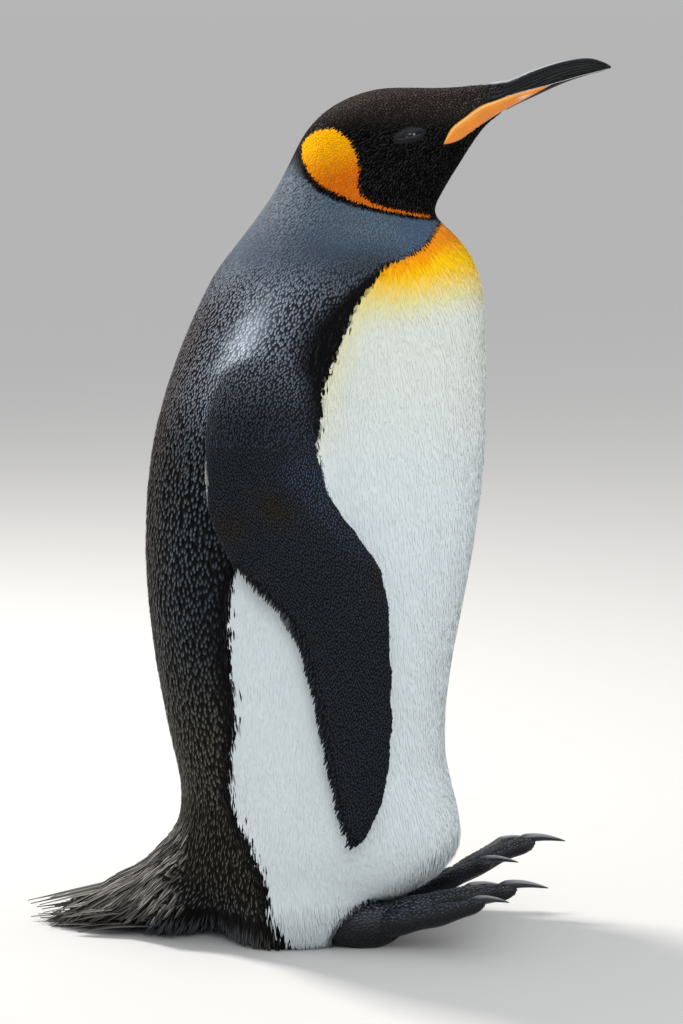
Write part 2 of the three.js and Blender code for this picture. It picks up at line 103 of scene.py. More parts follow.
def unit(vectors: Rows) -> Rows:
    """The vectors at length one."""
    return vectors / np.maximum(np.linalg.norm(vectors, axis=-1, keepdims=True), 1e-12)


def bowed(values: Rows, power: Rows | float) -> Rows:
    """Values raised to a power, each with its own sign kept."""
    return np.sign(values) * np.abs(values) ** power


def laid(runs: Rows, normals: Rows) -> Rows:
    """Directions turned until they lie along a surface with these normals."""
    return unit(runs - normals * np.einsum("ij,ij->i", runs, normals)[:, None])


def linear(red: int, green: int, blue: int) -> Rows:
    """A display colour, 0 to 255 a channel, as linear light."""
    share = np.array([red, green, blue], float) / 255
    return np.where(share <= 0.04045, share / 12.92, ((share + 0.055) / 1.055) ** 2.4)


def even(count: int) -> Rows:
    """Even shares from 0 to 1."""
    return np.linspace(0, 1, count)


def circle(count: int) -> Rows:
    """Angles evenly round a full turn."""
    return np.linspace(0, 2 * math.pi, count, endpoint=False)


def curve(rows: Rows | tuple, places: Rows) -> Rows:
    """Rows of numbers read off a uniform Catmull-Rom curve.

    Args:
        rows: the rows that the curve passes through.
        places: where to read it, in rows from the first.

    Returns:
        One row for each place.
    """
    rows = np.asarray(rows, float)
    last = len(rows) - 1
    start = np.clip(np.floor(places).astype(int), 0, last - 1)
    share = (places - start)[:, None]
    p0, p1, p2, p3 = (rows[np.clip(start + step, 0, last)] for step in (-1, 0, 1, 2))
    slope1, slope2 = (p2 - p0) / 2, (p3 - p1) / 2
    cubic = (2 * p1 - 2 * p2 + slope1 + slope2) * share**3
    square = (-3 * p1 + 3 * p2 - 2 * slope1 - slope2) * share**2
    return cubic + square + slope1 * share + p1


@dataclass(frozen=True)
class Line:
    """An open line in side view, with its points in mm as (x, z)."""

    points: Table

    def signed(self, x: Rows, z: Rows) -> Rows:
        """Distance from the line, positive on its left as it runs.

        Args:
            x: distances ahead, in mm.
            z: heights, in mm.

        Returns:
            Signed distances in mm.
        """
        best = np.full(x.shape, 1e9)
        sign = np.ones(x.shape)
        for (ax, az), (bx, bz) in zip(self.points, self.points[1:]):
            dx, dz = bx - ax, bz - az
            share = np.clip(((x - ax) * dx + (z - az) * dz) / (dx * dx + dz * dz), 0, 1)
            off_x, off_z = x - ax - share * dx, z - az - share * dz
            gap = np.hypot(off_x, off_z)
            closer = gap < best - 1e-6
            side = np.where(dx * (z - az) - dz * (x - ax) >= 0, 1, -1)
            best = np.where(closer, gap, best)
            sign = np.where(closer, side, sign)
        return best * sign

    def inside(self, x: Rows, z: Rows) -> Rows:
        """Distance into the closed line, negative outside it.

        Args:
            x: distances ahead, in mm.
            z: heights, in mm.

        Returns:
            Signed distances in mm.
        """
        within = np.zeros(x.shape, bool)
        loop = self.points + self.points[:1]
        for (ax, az), (bx, bz) in zip(loop, loop[1:]):
            crosses = (az > z) != (bz > z)
            span = bz - az if abs(bz - az) > 1e-9 else 1e-9
            within ^= crosses & (x < (bx - ax) * (z - az) / span + ax)
        gap = np.abs(Line(loop).signed(x, z))
        return np.where(within, gap, -gap)


@dataclass
class Shell:
    """A triangle mesh as arrays, in m."""

    points: Points
    triangles: Rows

    @classmethod
    def of(cls, mesh: bpy.types.Mesh) -> "Shell":
        """The triangles of a Blender mesh."""
        mesh.calc_loop_triangles()
        points = np.empty(len(mesh.vertices) * 3, np.float32)
        mesh.vertices.foreach_get("co", points)
        triangles = np.empty(len(mesh.loop_triangles) * 3, np.int32)
        mesh.loop_triangles.foreach_get("vertices", triangles)
        return cls(points.reshape(-1, 3).astype(float), triangles.reshape(-1, 3))

    def corner_normals(self) -> Rows:
        """Area-weighted normals at the points."""
        a, b, c = (self.points[self.triangles[:, k]] for k in range(3))
        face = np.cross(b - a, c - a)
        total = np.zeros_like(self.points)
        for k in range(3):
            for axis in range(3):
                total[:, axis] += np.bincount(self.triangles[:, k], face[:, axis], len(self.points))
        return unit(total)

    def over_faces(self, values: Rows) -> Rows:
        """The mean of each triangle's corner values."""
        return values[self.triangles].mean(1)

    def smoothed(self, rounds: Rows) -> "Shell":
        """The shell with each point relaxed towards its neighbours.

        Args:
            rounds: how many rounds each point takes part in.

        Returns:
            The relaxed shell.
        """
        mean_of = self.neighbour_mean()
        points = self.points.copy()
        for step in range(int(rounds.max())):
            points = mix(points, mean_of(points), 0.5 * np.clip(rounds - step, 0, 1))
        return Shell(points, self.triangles)

    def rounded(self, rounds: int) -> "Shell":
        """The shell with its sharp creases eased and its volume kept."""
        mean_of = self.neighbour_mean()
        points = self.points.copy()
        for _ in range(rounds):
            for step in (0.5, -0.53):
                points = points + step * (mean_of(points) - points)
        return Shell(points, self.triangles)

    def neighbour_mean(self) -> Callable[[Rows], Rows]:
        """A function from one row of values at each point to the mean of its neighbours' rows."""
        edges = np.vstack([self.triangles[:, pair] for pair in ([0, 1], [1, 2], [2, 0])])
        edges = np.unique(np.sort(edges, axis=1), axis=0)
        size = len(self.points)
        count = np.maximum(np.bincount(edges.ravel(), minlength=size), 1).astype(float)

        def mean_of(values: Rows) -> Rows:
            """The mean of each point's neighbours."""
            total = np.empty_like(values)
            for axis in range(values.shape[1]):
                column = values[:, axis]
                total[:, axis] = np.bincount(edges[:, 0], column[edges[:, 1]], size)
                total[:, axis] += np.bincount(edges[:, 1], column[edges[:, 0]], size)
            return total / count[:, None]

        return mean_of

    def moved(self, distance: Rows) -> "Shell":
        """The shell with each point moved along its normal by its own distance."""
        return Shell(self.points + self.corner_normals() * distance[:, None], self.triangles)

    def tree(self, keep: Rows | None = None) -> BVHTree:
        """A search tree over the triangles, or over those that are kept."""
        triangles = self.triangles if keep is None else self.triangles[keep]
        return BVHTree.FromPolygons(self.points.tolist(), triangles.tolist(), all_triangles=True)

    def mesh(self, name: str) -> bpy.types.Mesh:
        """The shell as a Blender mesh."""
        mesh = bpy.data.meshes.new(name)
        mesh.vertices.add(len(self.points))
        mesh.vertices.foreach_set("co", self.points.astype(np.float32).ravel())
        mesh.loops.add(self.triangles.size)
        mesh.loops.foreach_set("vertex_index", self.triangles.astype(np.int32).ravel())
        mesh.polygons.add(len(self.triangles))
        mesh.polygons.foreach_set("loop_start", np.arange(0, self.triangles.size, 3, dtype=np.int32))
        mesh.update(calc_edges=True)
        return mesh


def joined(shells: list[Shell] | tuple[Shell, ...]) -> Shell:
    """Several shells as one.

    Args:
        shells: the shells.

    Returns:
        The one shell.
    """
    starts = np.cumsum([0] + [len(shell.points) for shell in shells[:-1]])
    triangles = np.vstack([shell.triangles + start for shell, start in zip(shells, starts)])
    return Shell(np.vstack([shell.points for shell in shells]), triangles)


def snap(tree: BVHTree, points: Points) -> tuple[Points, Rows]:
    """The nearest place on a tree's surface to each point.

    Args:
        tree: the surface.
        points: where to look from.

    Returns:
        The nearest places and the surface's normals there.
    """
    places, normals = np.empty_like(points), np.empty_like(points)
    find = tree.find_nearest
    for row, point in enumerate(points.tolist()):
        places[row], normals[row], _, _ = find(point)
    return places, normals


def loft(rings: Rows, closed_ends: bool = True) -> Shell:
    """A closed skin over a row of rings.

    Args:
        rings: rings of points, shaped (rings, sides, 3).
        closed_ends: whether a fan closes each end.

    Returns:
        The shell.
    """
    count, sides = rings.shape[:2]
    points = rings.reshape(-1, 3)
    row, side = np.meshgrid(np.arange(count - 1) * sides, np.arange(sides), indexing="ij")
    following = (side + 1) % sides
    a, b = row + side, row + following
    c, d = a + sides, b + sides
    faces = [np.stack([a, b, c], -1).reshape(-1, 3), np.stack([b, d, c], -1).reshape(-1, 3)]
    if closed_ends:
        points = np.vstack([points, rings[0].mean(0), rings[-1].mean(0)])
        around = np.arange(sides)
        onward = (around + 1) % sides
        last = (count - 1) * sides
        first_fan = np.stack([np.full(sides, count * sides), onward, around], -1)
        last_fan = np.stack([np.full(sides, count * sides + 1), last + around, last + onward], -1)
        faces += [first_fan, last_fan]
    shell = Shell(points, np.vstack(faces).astype(np.int32))
    a, b, c = (shell.points[shell.triangles[:, k]] for k in range(3))
    if np.einsum("ij,ij->i", a, np.cross(b, c)).sum() < 0:
        shell.triangles = shell.triangles[:, ::-1].copy()
    return shell


def section(square: Rows, angles: Rows) -> tuple[Rows, Rows]:
    """Heights and spreads, from -1 to 1, at angles round sections that are each as square as they are given."""
    return bowed(np.cos(angles), 2 / square[:, None]), bowed(np.sin(angles), 2 / square[:, None])


def hung(upper: Rows, lower: Rows, half: Rows, rise: Rows, spread: Rows) -> Rows:
    """Rings between upper and lower points (x, z).

    Args:
        upper: the rings' upper points.
        lower: their lower points.
        half: their half widths.
        rise: heights round each, from -1 to 1.
        spread: shares of its half width.

    Returns:
        The rings.
    """
    middle, along = (upper + lower)[:, None, :] / 2, (upper - lower)[:, None, :] / 2
    flat = middle + along * rise[:, :, None]
    return np.stack([flat[:, :, 0], spread * half[:, None], flat[:, :, 1]], -1)


def added(name: str, data: bpy.types.ID) -> Piece:
    """A new object in the scene."""
    thing = bpy.data.objects.new(name, data)
    bpy.context.scene.collection.objects.link(thing)
    return thing


def remeshed(shells: list[Shell], voxel: float) -> Shell:
    """Overlapping shells made one by voxels.

    Args:
        shells: the closed shells.
        voxel: the voxel size in m.

    Returns:
        One closed shell.
    """
    mesh = joined(shells).mesh("fusing")
    helper = added("fusing", mesh)
    remesh = helper.modifiers.new("voxels", "REMESH")
    remesh.mode = "VOXEL"
    remesh.voxel_size = voxel
    remesh.use_smooth_shade = True
    graph = bpy.context.evaluated_depsgraph_get()
    result = Shell.of(helper.evaluated_get(graph).to_mesh())
    bpy.data.objects.remove(helper)
    bpy.data.meshes.remove(mesh)
    return result


def node_shell(name: str, grow: float = 0) -> Shell:
    """A solid node's own surface, with shared corners merged.

    Args:
        name: the node.
        grow: how far it is swollen along its normals, in m.

    Returns:
        The shell.
    """
    work = bmesh.new()
    work.from_mesh(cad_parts[name].data)
    bmesh.ops.remove_doubles(work, verts=work.verts, dist=1e-6)
    mesh = bpy.data.meshes.new("node")
    work.to_mesh(mesh)
    work.free()
    shell = Shell.of(mesh)
    bpy.data.meshes.remove(mesh)
    return shell.moved(np.full(len(shell.points), grow)) if grow else shell


def place(name: str, shell: Shell, material: Material, stands_for: tuple[str, ...] = ()) -> Piece:
    """A finished piece on the bird.

    Args:
        name: the piece's name.
        shell: its mesh.
        material: its finish.
        stands_for: the solid nodes that it replaces.

    Returns:
        The new object.
    """
    mesh = shell.mesh(name)
    mesh.materials.append(material)
    piece = added(name, mesh)
    mesh.shade_smooth()
    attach(piece, BODY)
    if stands_for:
        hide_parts(*stands_for)
    log.info("%s: %d triangles", name, len(shell.triangles))
    return piece


def paint(piece: Piece, **layers: Rows) -> None:
    """Stores colours or vectors at the points of a piece.

    Args:
        piece: the piece.
        layers: attribute name to one row of three numbers for each point.
    """
    for name, values in layers.items():
        if name == "vane":
            attribute = piece.data.attributes.new(name, "FLOAT_VECTOR", "POINT")
            attribute.data.foreach_set("vector", values.astype(np.float32).ravel())
        else:
            full = np.ones((len(values), 4), np.float32)
            full[:, :3] = values
            attribute = piece.data.attributes.new(name, "FLOAT_COLOR", "POINT")
            attribute.data.foreach_set("color", full.ravel())


class Nodes:
    """A node tree being wired, with short ways to add to it."""

    def __init__(self, tree: bpy.types.NodeTree) -> None:
        """Takes the tree to wire."""
        self.tree = tree

    def add(self, kind: str, inputs: dict | None = None, **settings: object) -> bpy.types.Node:
        """Adds a node.

        Args:
            kind: the node's type without its ShaderNode prefix.
            inputs: socket to plain value or to the output that feeds it.
            settings: the node's own properties.

        Returns:
            The node.
        """
        node = self.tree.nodes.new(kind if kind.startswith("Node") else "ShaderNode" + kind)
        for name, value in settings.items():
            setattr(node, name, value)
        self.feed(node, inputs or {})
        return node

    def feed(self, node: bpy.types.Node, inputs: dict) -> None:
        """Gives each named socket of a node its plain value, or the output that feeds it."""
        for name, value in inputs.items():
            if isinstance(value, Socket):
                self.tree.links.new(value, node.inputs[name])
            else:
                node.inputs[name].default_value = value

    def use(self, tree: bpy.types.NodeTree, inputs: dict) -> bpy.types.Node:
        """Places a shared group."""
        return self.add("Group", inputs, node_tree=tree)

    def painted(self, name: str, output: str = "Color") -> Socket:
        """What is painted on the piece under a name."""
        return self.add("Attribute", attribute_name=name).outputs[output]

    def vane(self) -> tuple[Socket, ...]:
        """A place's share across its feather and along it, and the feather's own number."""
        return tuple(self.add("SeparateXYZ", {0: self.painted("vane", "Vector")}).outputs)

    def shaded(self, colour: Socket, shade: Socket) -> Socket:
        """A colour made lighter or darker by a shade."""
        grey = self.add("CombineColor", {0: shade, 1: shade, 2: shade})
        return self.blend(1, colour, grey.outputs[0], "MULTIPLY")

    def relief(self, strength: float, distance: float, height: Socket) -> Socket:
        """A height as a normal."""
        return self.add("Bump", {"Strength": strength, "Distance": distance, "Height": height}).outputs["Normal"]

    def ramp(self, source: Socket, low: object, high: object) -> Socket:
        """A value eased so that low gives 0 and high gives 1."""
        limits = {"Value": source, "From Min": low, "From Max": high}
        return self.add("MapRange", limits, interpolation_type="SMOOTHSTEP").outputs["Result"]

    def math(self, operation: str, *values: object) -> Socket:
        """One arithmetic step."""
        return self.add("Math", dict(enumerate(values)), operation=operation).outputs[0]

    def blend(self, share: object, first: object, second: object, mode: str = "MIX") -> Socket:
        """Two colours blended."""
        return self.add("Mix", {0: share, 6: first, 7: second}, data_type="RGBA", blend_type=mode).outputs[2]


def new_material(name: str) -> tuple[Material, Nodes, bpy.types.Node]:
    """A new material, its tree to be wired and its Principled shader."""
    material = bpy.data.materials.new(name)
    material.use_nodes = True
    return material, Nodes(material.node_tree), material.node_tree.nodes["Principled BSDF"]


def group(
    name: str, inputs: tuple[str, ...], outputs: tuple[str, ...]
) -> tuple[Nodes, bpy.types.NodeOutputs, bpy.types.Node]:
    """An empty shader node group.

    Args:
        name: the group's name.
        inputs: the names of the numbers that it takes.
        outputs: the names of the numbers that it gives.

    Returns:
        The tree to be wired, what the group is given and its output node.
    """
    tree = bpy.data.node_groups.new(name, "ShaderNodeTree")
    for way, sockets in (("INPUT", inputs), ("OUTPUT", outputs)):
        for socket in sockets:
            tree.interface.new_socket(socket, in_out=way, socket_type="NodeSocketFloat")
    nodes = Nodes(tree)
    return nodes, nodes.add("NodeGroupInput").outputs, nodes.add("NodeGroupOutput")


def barb_group() -> bpy.types.NodeTree:
    """Fine barbs that slant away from a feather's shaft: a shade and a height."""
    nodes, given, out = group("barbs", ("Barbs", "Slant", "Strength"), ("Shade", "Height"))
    across, along, chance = nodes.vane()
    run = nodes.math("SUBTRACT", along, nodes.math("MULTIPLY", nodes.math("ABSOLUTE", across), given["Slant"]))
    place_in = nodes.add("CombineXYZ", {0: nodes.math("MULTIPLY", run, given["Barbs"]), 1: chance, 2: across})
    streak = nodes.add("TexNoise", {"Vector": place_in.outputs[0], "Scale": 3, "Detail": 2})
    wave = nodes.ramp(streak.outputs["Fac"], 0.3, 0.7)
    swing = nodes.math("MULTIPLY", nodes.math("SUBTRACT", wave, 0.5), given["Strength"])
    nodes.feed(out, {"Shade": nodes.math("ADD", 1, swing), "Height": wave})
    return nodes.tree


TIP_SOCKETS = ("Tip Low", "Tip High", "Rim Low", "Rim High")


def tip_group() -> bpy.types.NodeTree:
    """Where a feather shows its tip's colour, from its vane places."""
    nodes, given, out = group("tips", TIP_SOCKETS, ("Spot",))
    across, along, _ = nodes.vane()
    tip = nodes.ramp(along, given["Tip Low"], given["Tip High"])
    rim = nodes.ramp(nodes.math("ABSOLUTE", across), given["Rim Low"], given["Rim High"])
    nodes.feed(out, {"Spot": nodes.math("MULTIPLY", tip, nodes.math("SUBTRACT", 1, rim))})
    return nodes.tree


def mottle_group() -> bpy.types.NodeTree:
    """Soft uneven patches over a surface: a shade, and a fine grain as a height."""
    nodes, given, out = group("mottle", ("Patch Scale", "Grain Scale", "Strength"), ("Shade", "Grain"))
    where = nodes.add("TexCoord").outputs["Object"]
    patch = nodes.add("TexNoise", {"Vector": where, "Scale": given["Patch Scale"], "Detail": 3})
    grain = nodes.add("TexNoise", {"Vector": where, "Scale": given["Grain Scale"], "Detail": 2})
    swing = nodes.math("MULTIPLY", nodes.math("SUBTRACT", patch.outputs["Fac"], 0.5), given["Strength"])
    nodes.feed(out, {"Shade": nodes.math("ADD", 1, swing), "Grain": grain.outputs["Fac"]})
    return nodes.tree


@dataclass(frozen=True)
class PlumeFinish:
    """Feathers: one colour under and one at the tips, broken by barbs, with a soft sheen.

    tip and rim say where the tip's colour starts and is whole: along the feather, and out from its shaft.
    """

    name: str
    roughness: float = 0.6
    tip: tuple[float, float] = (0.3, 0.9)
    rim: tuple[float, float] = (1, 2)
    barbs: float = 9
    slant: float = 0.35
    strength: float = 0.5
    mottling: float = 0.35
    bump: float = 0.25
    sheen: float = 0.01
    specular: float = 0.05

    def material(self, groups: Groups) -> Material:
        """The finish as a material, from the shared node groups."""
        material, nodes, shader = new_material(self.name)
        spot = nodes.use(groups["tips"], dict(zip(TIP_SOCKETS, self.tip + self.rim))).outputs["Spot"]
        barbs = nodes.use(groups["barbs"], {"Barbs": self.barbs, "Slant": self.slant, "Strength": self.strength})
        patches = {"Patch Scale": 26, "Grain Scale": 900, "Strength": self.mottling}
        mottle = nodes.use(groups["mottle"], patches)
        shade = nodes.math("MULTIPLY", barbs.outputs["Shade"], mottle.outputs["Shade"])
        vane_colour = nodes.blend(spot, nodes.painted("under"), nodes.painted("tint"))
        surface = {
            "Base Color": nodes.shaded(vane_colour, shade),
            "Normal": nodes.relief(self.bump, 0.0003, barbs.outputs["Height"]),
            "Roughness": self.roughness,
            "Specular IOR Level": self.specular,
            "Sheen Weight": self.sheen,
            "Sheen Roughness": 0.4,
        }
        nodes.feed(shader, surface)
        return material


@dataclass(frozen=True)
class SkinFinish:
    """Bare or feathered skin: the painted tint with a fine grain."""

    name: str
    roughness: float = 0.7
    grain: float = 700
    patch: float = 30
    mottling: float = 0.4
    bump: float = 0.3
    depth: float = 0.0004
    specular: float = 0.3

    def material(self, groups: Groups) -> Material:
        """The finish as a material, from the shared node groups."""
        material, nodes, shader = new_material(self.name)
        patches = {"Patch Scale": self.patch, "Grain Scale": self.grain, "Strength": self.mottling}
        mottle = nodes.use(groups["mottle"], patches)
        surface = {
            "Base Color": nodes.shaded(nodes.painted("tint"), mottle.outputs["Shade"]),
            "Normal": nodes.relief(self.bump, self.depth, mottle.outputs["Grain"]),
            "Roughness": self.roughness,
            "Specular IOR Level": self.specular,
        }
        nodes.feed(shader, surface)
        return material


Shade = tuple[int, int, int] | Rows


@dataclass
class Palette:
    """The plumage's colours, given from 0 to 255 and kept in linear light."""

    hood: Shade = (6, 5, 5)
    crown: Shade = (85, 75, 70)
    collar: Shade = (86, 102, 115)
    collar_fore: Shade = (77, 101, 127)
    collar_low: Shade = (56, 68, 84)
    collar_deep: Shade = (60, 73, 88)
    mantle: Shade = (140, 149, 164)
    mantle_deep: Shade = (29, 34, 43)
    back: Shade = (7, 8, 10)
    back_tip: Shade = (86, 96, 104)
    brown: Shade = (13, 10, 9)
    brown_tip: Shade = (84, 72, 66)
    rump: Shade = (14, 13, 11)
    rump_tip: Shade = (92, 90, 80)
    band: Shade = (4, 4, 6)
    white: Shade = (204, 213, 217)
    ivory: Shade = (206, 212, 206)
    cream: Shade = (214, 208, 150)
    yellow: Shade = (236, 186, 2)
    orange: Shade = (226, 132, 2)
    ear_top: Shade = (255, 180, 0)
    ear_low: Shade = (212, 106, 8)
    flipper: Shade = (9, 11, 15)
    flipper_tip: Shade = (50, 57, 68)
    flipper_sheen: Shade = (74, 92, 122)
    flipper_edge: Shade = (176, 178, 178)
    flipper_under: Shade = (226, 228, 226)
    stain: Shade = (66, 52, 30)

    def __post_init__(self) -> None:
        """Turns every colour into linear light."""
        for name, shade in list(vars(self).items()):
            setattr(self, name, linear(*shade))


@dataclass(frozen=True)
class Markings:
    """Where each colour lies, as lines in side view. Both sides of the bird are alike."""

    colours: Palette = field(default_factory=Palette)
    # from the nape down to the throat: the hood is above and ahead of it
    hood_edge: Line = Line((
        (-60, 712), (-30, 715), (-9, 718), (1, 707), (14, 695.5), (30, 687.5), (49, 681), (71, 675.5),
        (97, 670), (112, 667.5), (140, 664),
    ))
    ear_patch: Line = Line((
        (-3, 736), (2, 743), (9.5, 748), (19, 750.5), (28, 750.5), (36, 747), (44, 738.4), (50.5, 726),
        (52.8, 714.4), (51.6, 701), (55.6, 691.5), (66.5, 684), (90.8, 677), (114, 672.5), (112, 669.5),
        (97.6, 673.2), (71.9, 679), (50.6, 685.4), (33.2, 692.6), (19.1, 699.8), (6.2, 711.4), (-1.5, 724.5),
    ))
    # from the throat round the collar's tip and down the flank: the white front is on its left
    front_edge: Line = Line((
        (140, 668.5), (121, 668), (120.5, 662), (117, 652.5), (110.5, 644), (97, 636.5), (80, 630.5),
        (73.8, 622.1), (66.9, 613.3), (58.4, 600.1), (45.6, 573.7), (37.1, 551.7), (28.6, 529.7),
        (24.4, 507.6), (24.6, 485.4), (17.6, 467.5), (4, 446), (-22, 410), (-45, 378), (-55, 349),
        (-58.9, 317), (-59.2, 284.9), (-54.9, 248.3), (-53.4, 220.4), (-58.9, 187), (-61.7, 153.3),
        (-52.4, 126.1), (-41, 108.4), (-31, 80.5), (-25, 51.6), (-16, 27.8), (-8, 12), (-4, -30),
    ))
    flipper_rear: Line = Line((
        (-83.5, 480), (-79.5, 444), (-78.5, 415), (-68.5, 381), (-48.5, 357), (-24.5, 339), (-3.5, 317),
        (4.5, 301), (14.5, 264), (28.5, 198), (33.5, 164), (44.5, 118), (56.5, 107),
    ))
    flipper_fore: Line = Line(((56.5, 107), (81.5, 143), (93.5, 217), (91.5, 315), (80.5, 373), (11.5, 451)))
    stains: Table = ((-20.5, 422, 9), (-6.5, 415, 8), (-54.5, 400, 10), (79.5, 360, 7))

    def paint(self, points: Points, ragged: Rows, flipper: Rows, inner: Rows) -> tuple[Rows, Rows]:
        """The plumage's colours at points of the coat.

        Args:
            points: places in m.
            ragged: one random number for each point, which frays the edges.
            flipper: how much each point belongs to a flipper.
            inner: how much a flipper point faces the body.

        Returns:
            The colour under each feather and the colour of its tip.
        """
        c = self.colours
        x, y, z = (points[:, axis] / MM for axis in range(3))
        nape = ease(40, -20, x) * ease(590, 700, z)
        hood = self.hood_edge.signed(x, z)
        down = ease(650, 600, z)
        fore = ease(70, 110, x)
        collar = mix(c.collar, c.collar_fore, fore)
        collar = mix(collar, c.collar_low, ease(-14, -50, hood) * (1 - fore))
        base = mix(c.collar_deep, c.mantle_deep, down)
        base = mix(base, c.back, ease(590, 450, z))
        tip = mix(collar, c.mantle, down)
        tip = mix(tip, c.back_tip, ease(540, 460, z))
        # painted highlight: a pale patch on the shoulder bulge, where the sun falls
        shoulder_highlight = np.exp(-(((x + 46 - 0.5 * (z - 566)) / 15) ** 2) - ((z - 564) / 30) ** 2)
        base, tip = dyed((base, tip), (c.mantle * 1.4, c.white * 1.1), 0.95 * shoulder_highlight)
        navy = ease(-70, -12, self.front_edge.signed(x, z)) * ease(660, 625, z)
        base, tip = dyed((base, tip), (c.back, c.mantle_deep), 0.6 * navy)
        base = mix(base, c.mantle_deep, nape * 0.7)
        tip = mix(tip, c.mantle * 0.8, nape * 0.8)
        # brown along the middle of the back: partly the feathers' worn brown, partly painted sunlight along the back's
        # outline
        spine = ease(104, 44, np.abs(y)) * ease(640, 570, z) * ease(0, -60, x)
        base, tip = mix(base, c.brown, spine), mix(tip, c.brown_tip, 0.75 * spine)
        low = ease(330, 170, z)
        base, tip = dyed((base, tip), (c.rump, c.rump_tip), low)
        teal = ease(80, 30, z) * ease(-30, -70, x) * ease(-240, -190, x)
        tip = mix(tip, c.back_tip, 0.8 * teal)
        downy = np.exp(-(((x + 62) / 22) ** 2) - ((z - 6) / 14) ** 2)
        base, tip = dyed((base, tip), (c.mantle, c.mantle * 1.5), 0.8 * downy)

        front = self.front_edge.signed(x, z) + ragged * (1 + 2.2 * ease(600, 500, z))
        width = 3 + 37 * ease(640, 570, z)
        width -= 27 * ease(520, 430, z)
        width += 6 * ease(420, 300, z) - 8 * ease(300, 120, z)
        dark = ease(-width * 1.3, -width * 0.45, front)
        base, tip = dyed((base, tip), (c.band, c.band * 1.25), dark)

        white = ease(-0.7, 0.7, front)
        gold = ease(572, 668, z + 10 * ease(150, 90, x))
        belly = mix(c.white, c.ivory, ease(380, 585, z))
        edge_warm = ease(26, 0, front) * ease(420, 560, z)
        belly = mix(belly, c.cream, 0.55 * edge_warm)
        belly = mix(belly, c.cream, ease(0.02, 0.40, gold))
        belly = mix(belly, c.yellow, ease(0.26, 0.74, gold))
        rust = np.maximum(ease(0.80, 1, gold), ease(17, 2, front) * ease(0.5, 0.95, gold))
        belly = mix(belly, c.orange, rust)
        base, tip = dyed((base, tip), (belly * 0.97, belly), white)

        hood = hood + ragged * 0.8
        soft = 1 + 13 * ease(8, -14, x)
        black = ease(-soft, soft, hood)
        # the crown's brown tips: partly the feathers' own brown speckle, partly painted sunlight along the top of the
        # head
        crown = ease(746, 778, z + 0.45 * np.maximum(0, 20 - x))
        crown = np.maximum(crown, 0.55 * ease(12, -12, x) * ease(690, 720, z))
        hood_tip = mix(c.hood * 1.2, c.crown, crown * (0.55 + 0.45 * (ragged > -0.3)))
        base = mix(base, c.hood * 0.8, black)
        tip = mix(tip, hood_tip, black)
        patch = self.ear_patch.inside(x, z) + ragged * 0.7
        rim = ease(-4.2, -2.4, patch) * ease(60, 48, x) * ease(735, 700, z)
        rim_low = ease(-2.6, -1.2, patch) * ease(40, 60, x) * ease(700, 690, z)
        rim = np.maximum(rim, rim_low)
        base, tip = dyed((base, tip), (c.hood * 0.7, c.hood * 0.7), rim)
        warm = ease(744, 696, z - 0.35 * (x - 20))
        ear = mix(c.ear_top, c.ear_low, warm)
        inside = ease(-0.5, 0.5, patch)
        base, tip = dyed((base, tip), (ear * 0.7, ear), inside)

        under, under_tip = mix(c.flipper, c.flipper_under, inner), mix(c.flipper_tip, c.flipper_under, inner)
        outer = 1 - inner
        stain = sum(np.exp(-((x - u) ** 2 + (z - v) ** 2) / (2 * r * r)) for u, v, r in self.stains)
        under_tip = mix(under_tip, c.stain, np.clip(0.8 * stain, 0, 1) * outer)
        # painted highlight: a bluish sheen along the flipper's leading edge
        lead_highlight = ease(26, 6, np.abs(self.flipper_fore.signed(x, z))) * ease(350, 420, z)
        under_tip = mix(under_tip, c.flipper_sheen, 0.6 * lead_highlight * outer)
        rear = ease(3.4, 1.2, self.flipper_rear.signed(x, z) + 0.6 * ragged)
        fringe = rear * ease(300, 350, z) * ease(470, 430, z) * outer
        under, under_tip = (mix(colour, c.flipper_edge, fringe) for colour in (under, under_tip))
        arm = ease(490, 575, z)
        base = mix(base, mix(under, c.mantle_deep, arm), flipper)
        tip = mix(tip, mix(under_tip, c.mantle * 0.8, arm), flipper)
        return base, tip

    def into_white(self, points: Points) -> Rows:
        """How far each point is into the white front, in mm."""
        x, z = points[:, 0] / MM, points[:, 2] / MM
        return np.minimum(self.front_edge.signed(x, z), -self.hood_edge.signed(x, z))


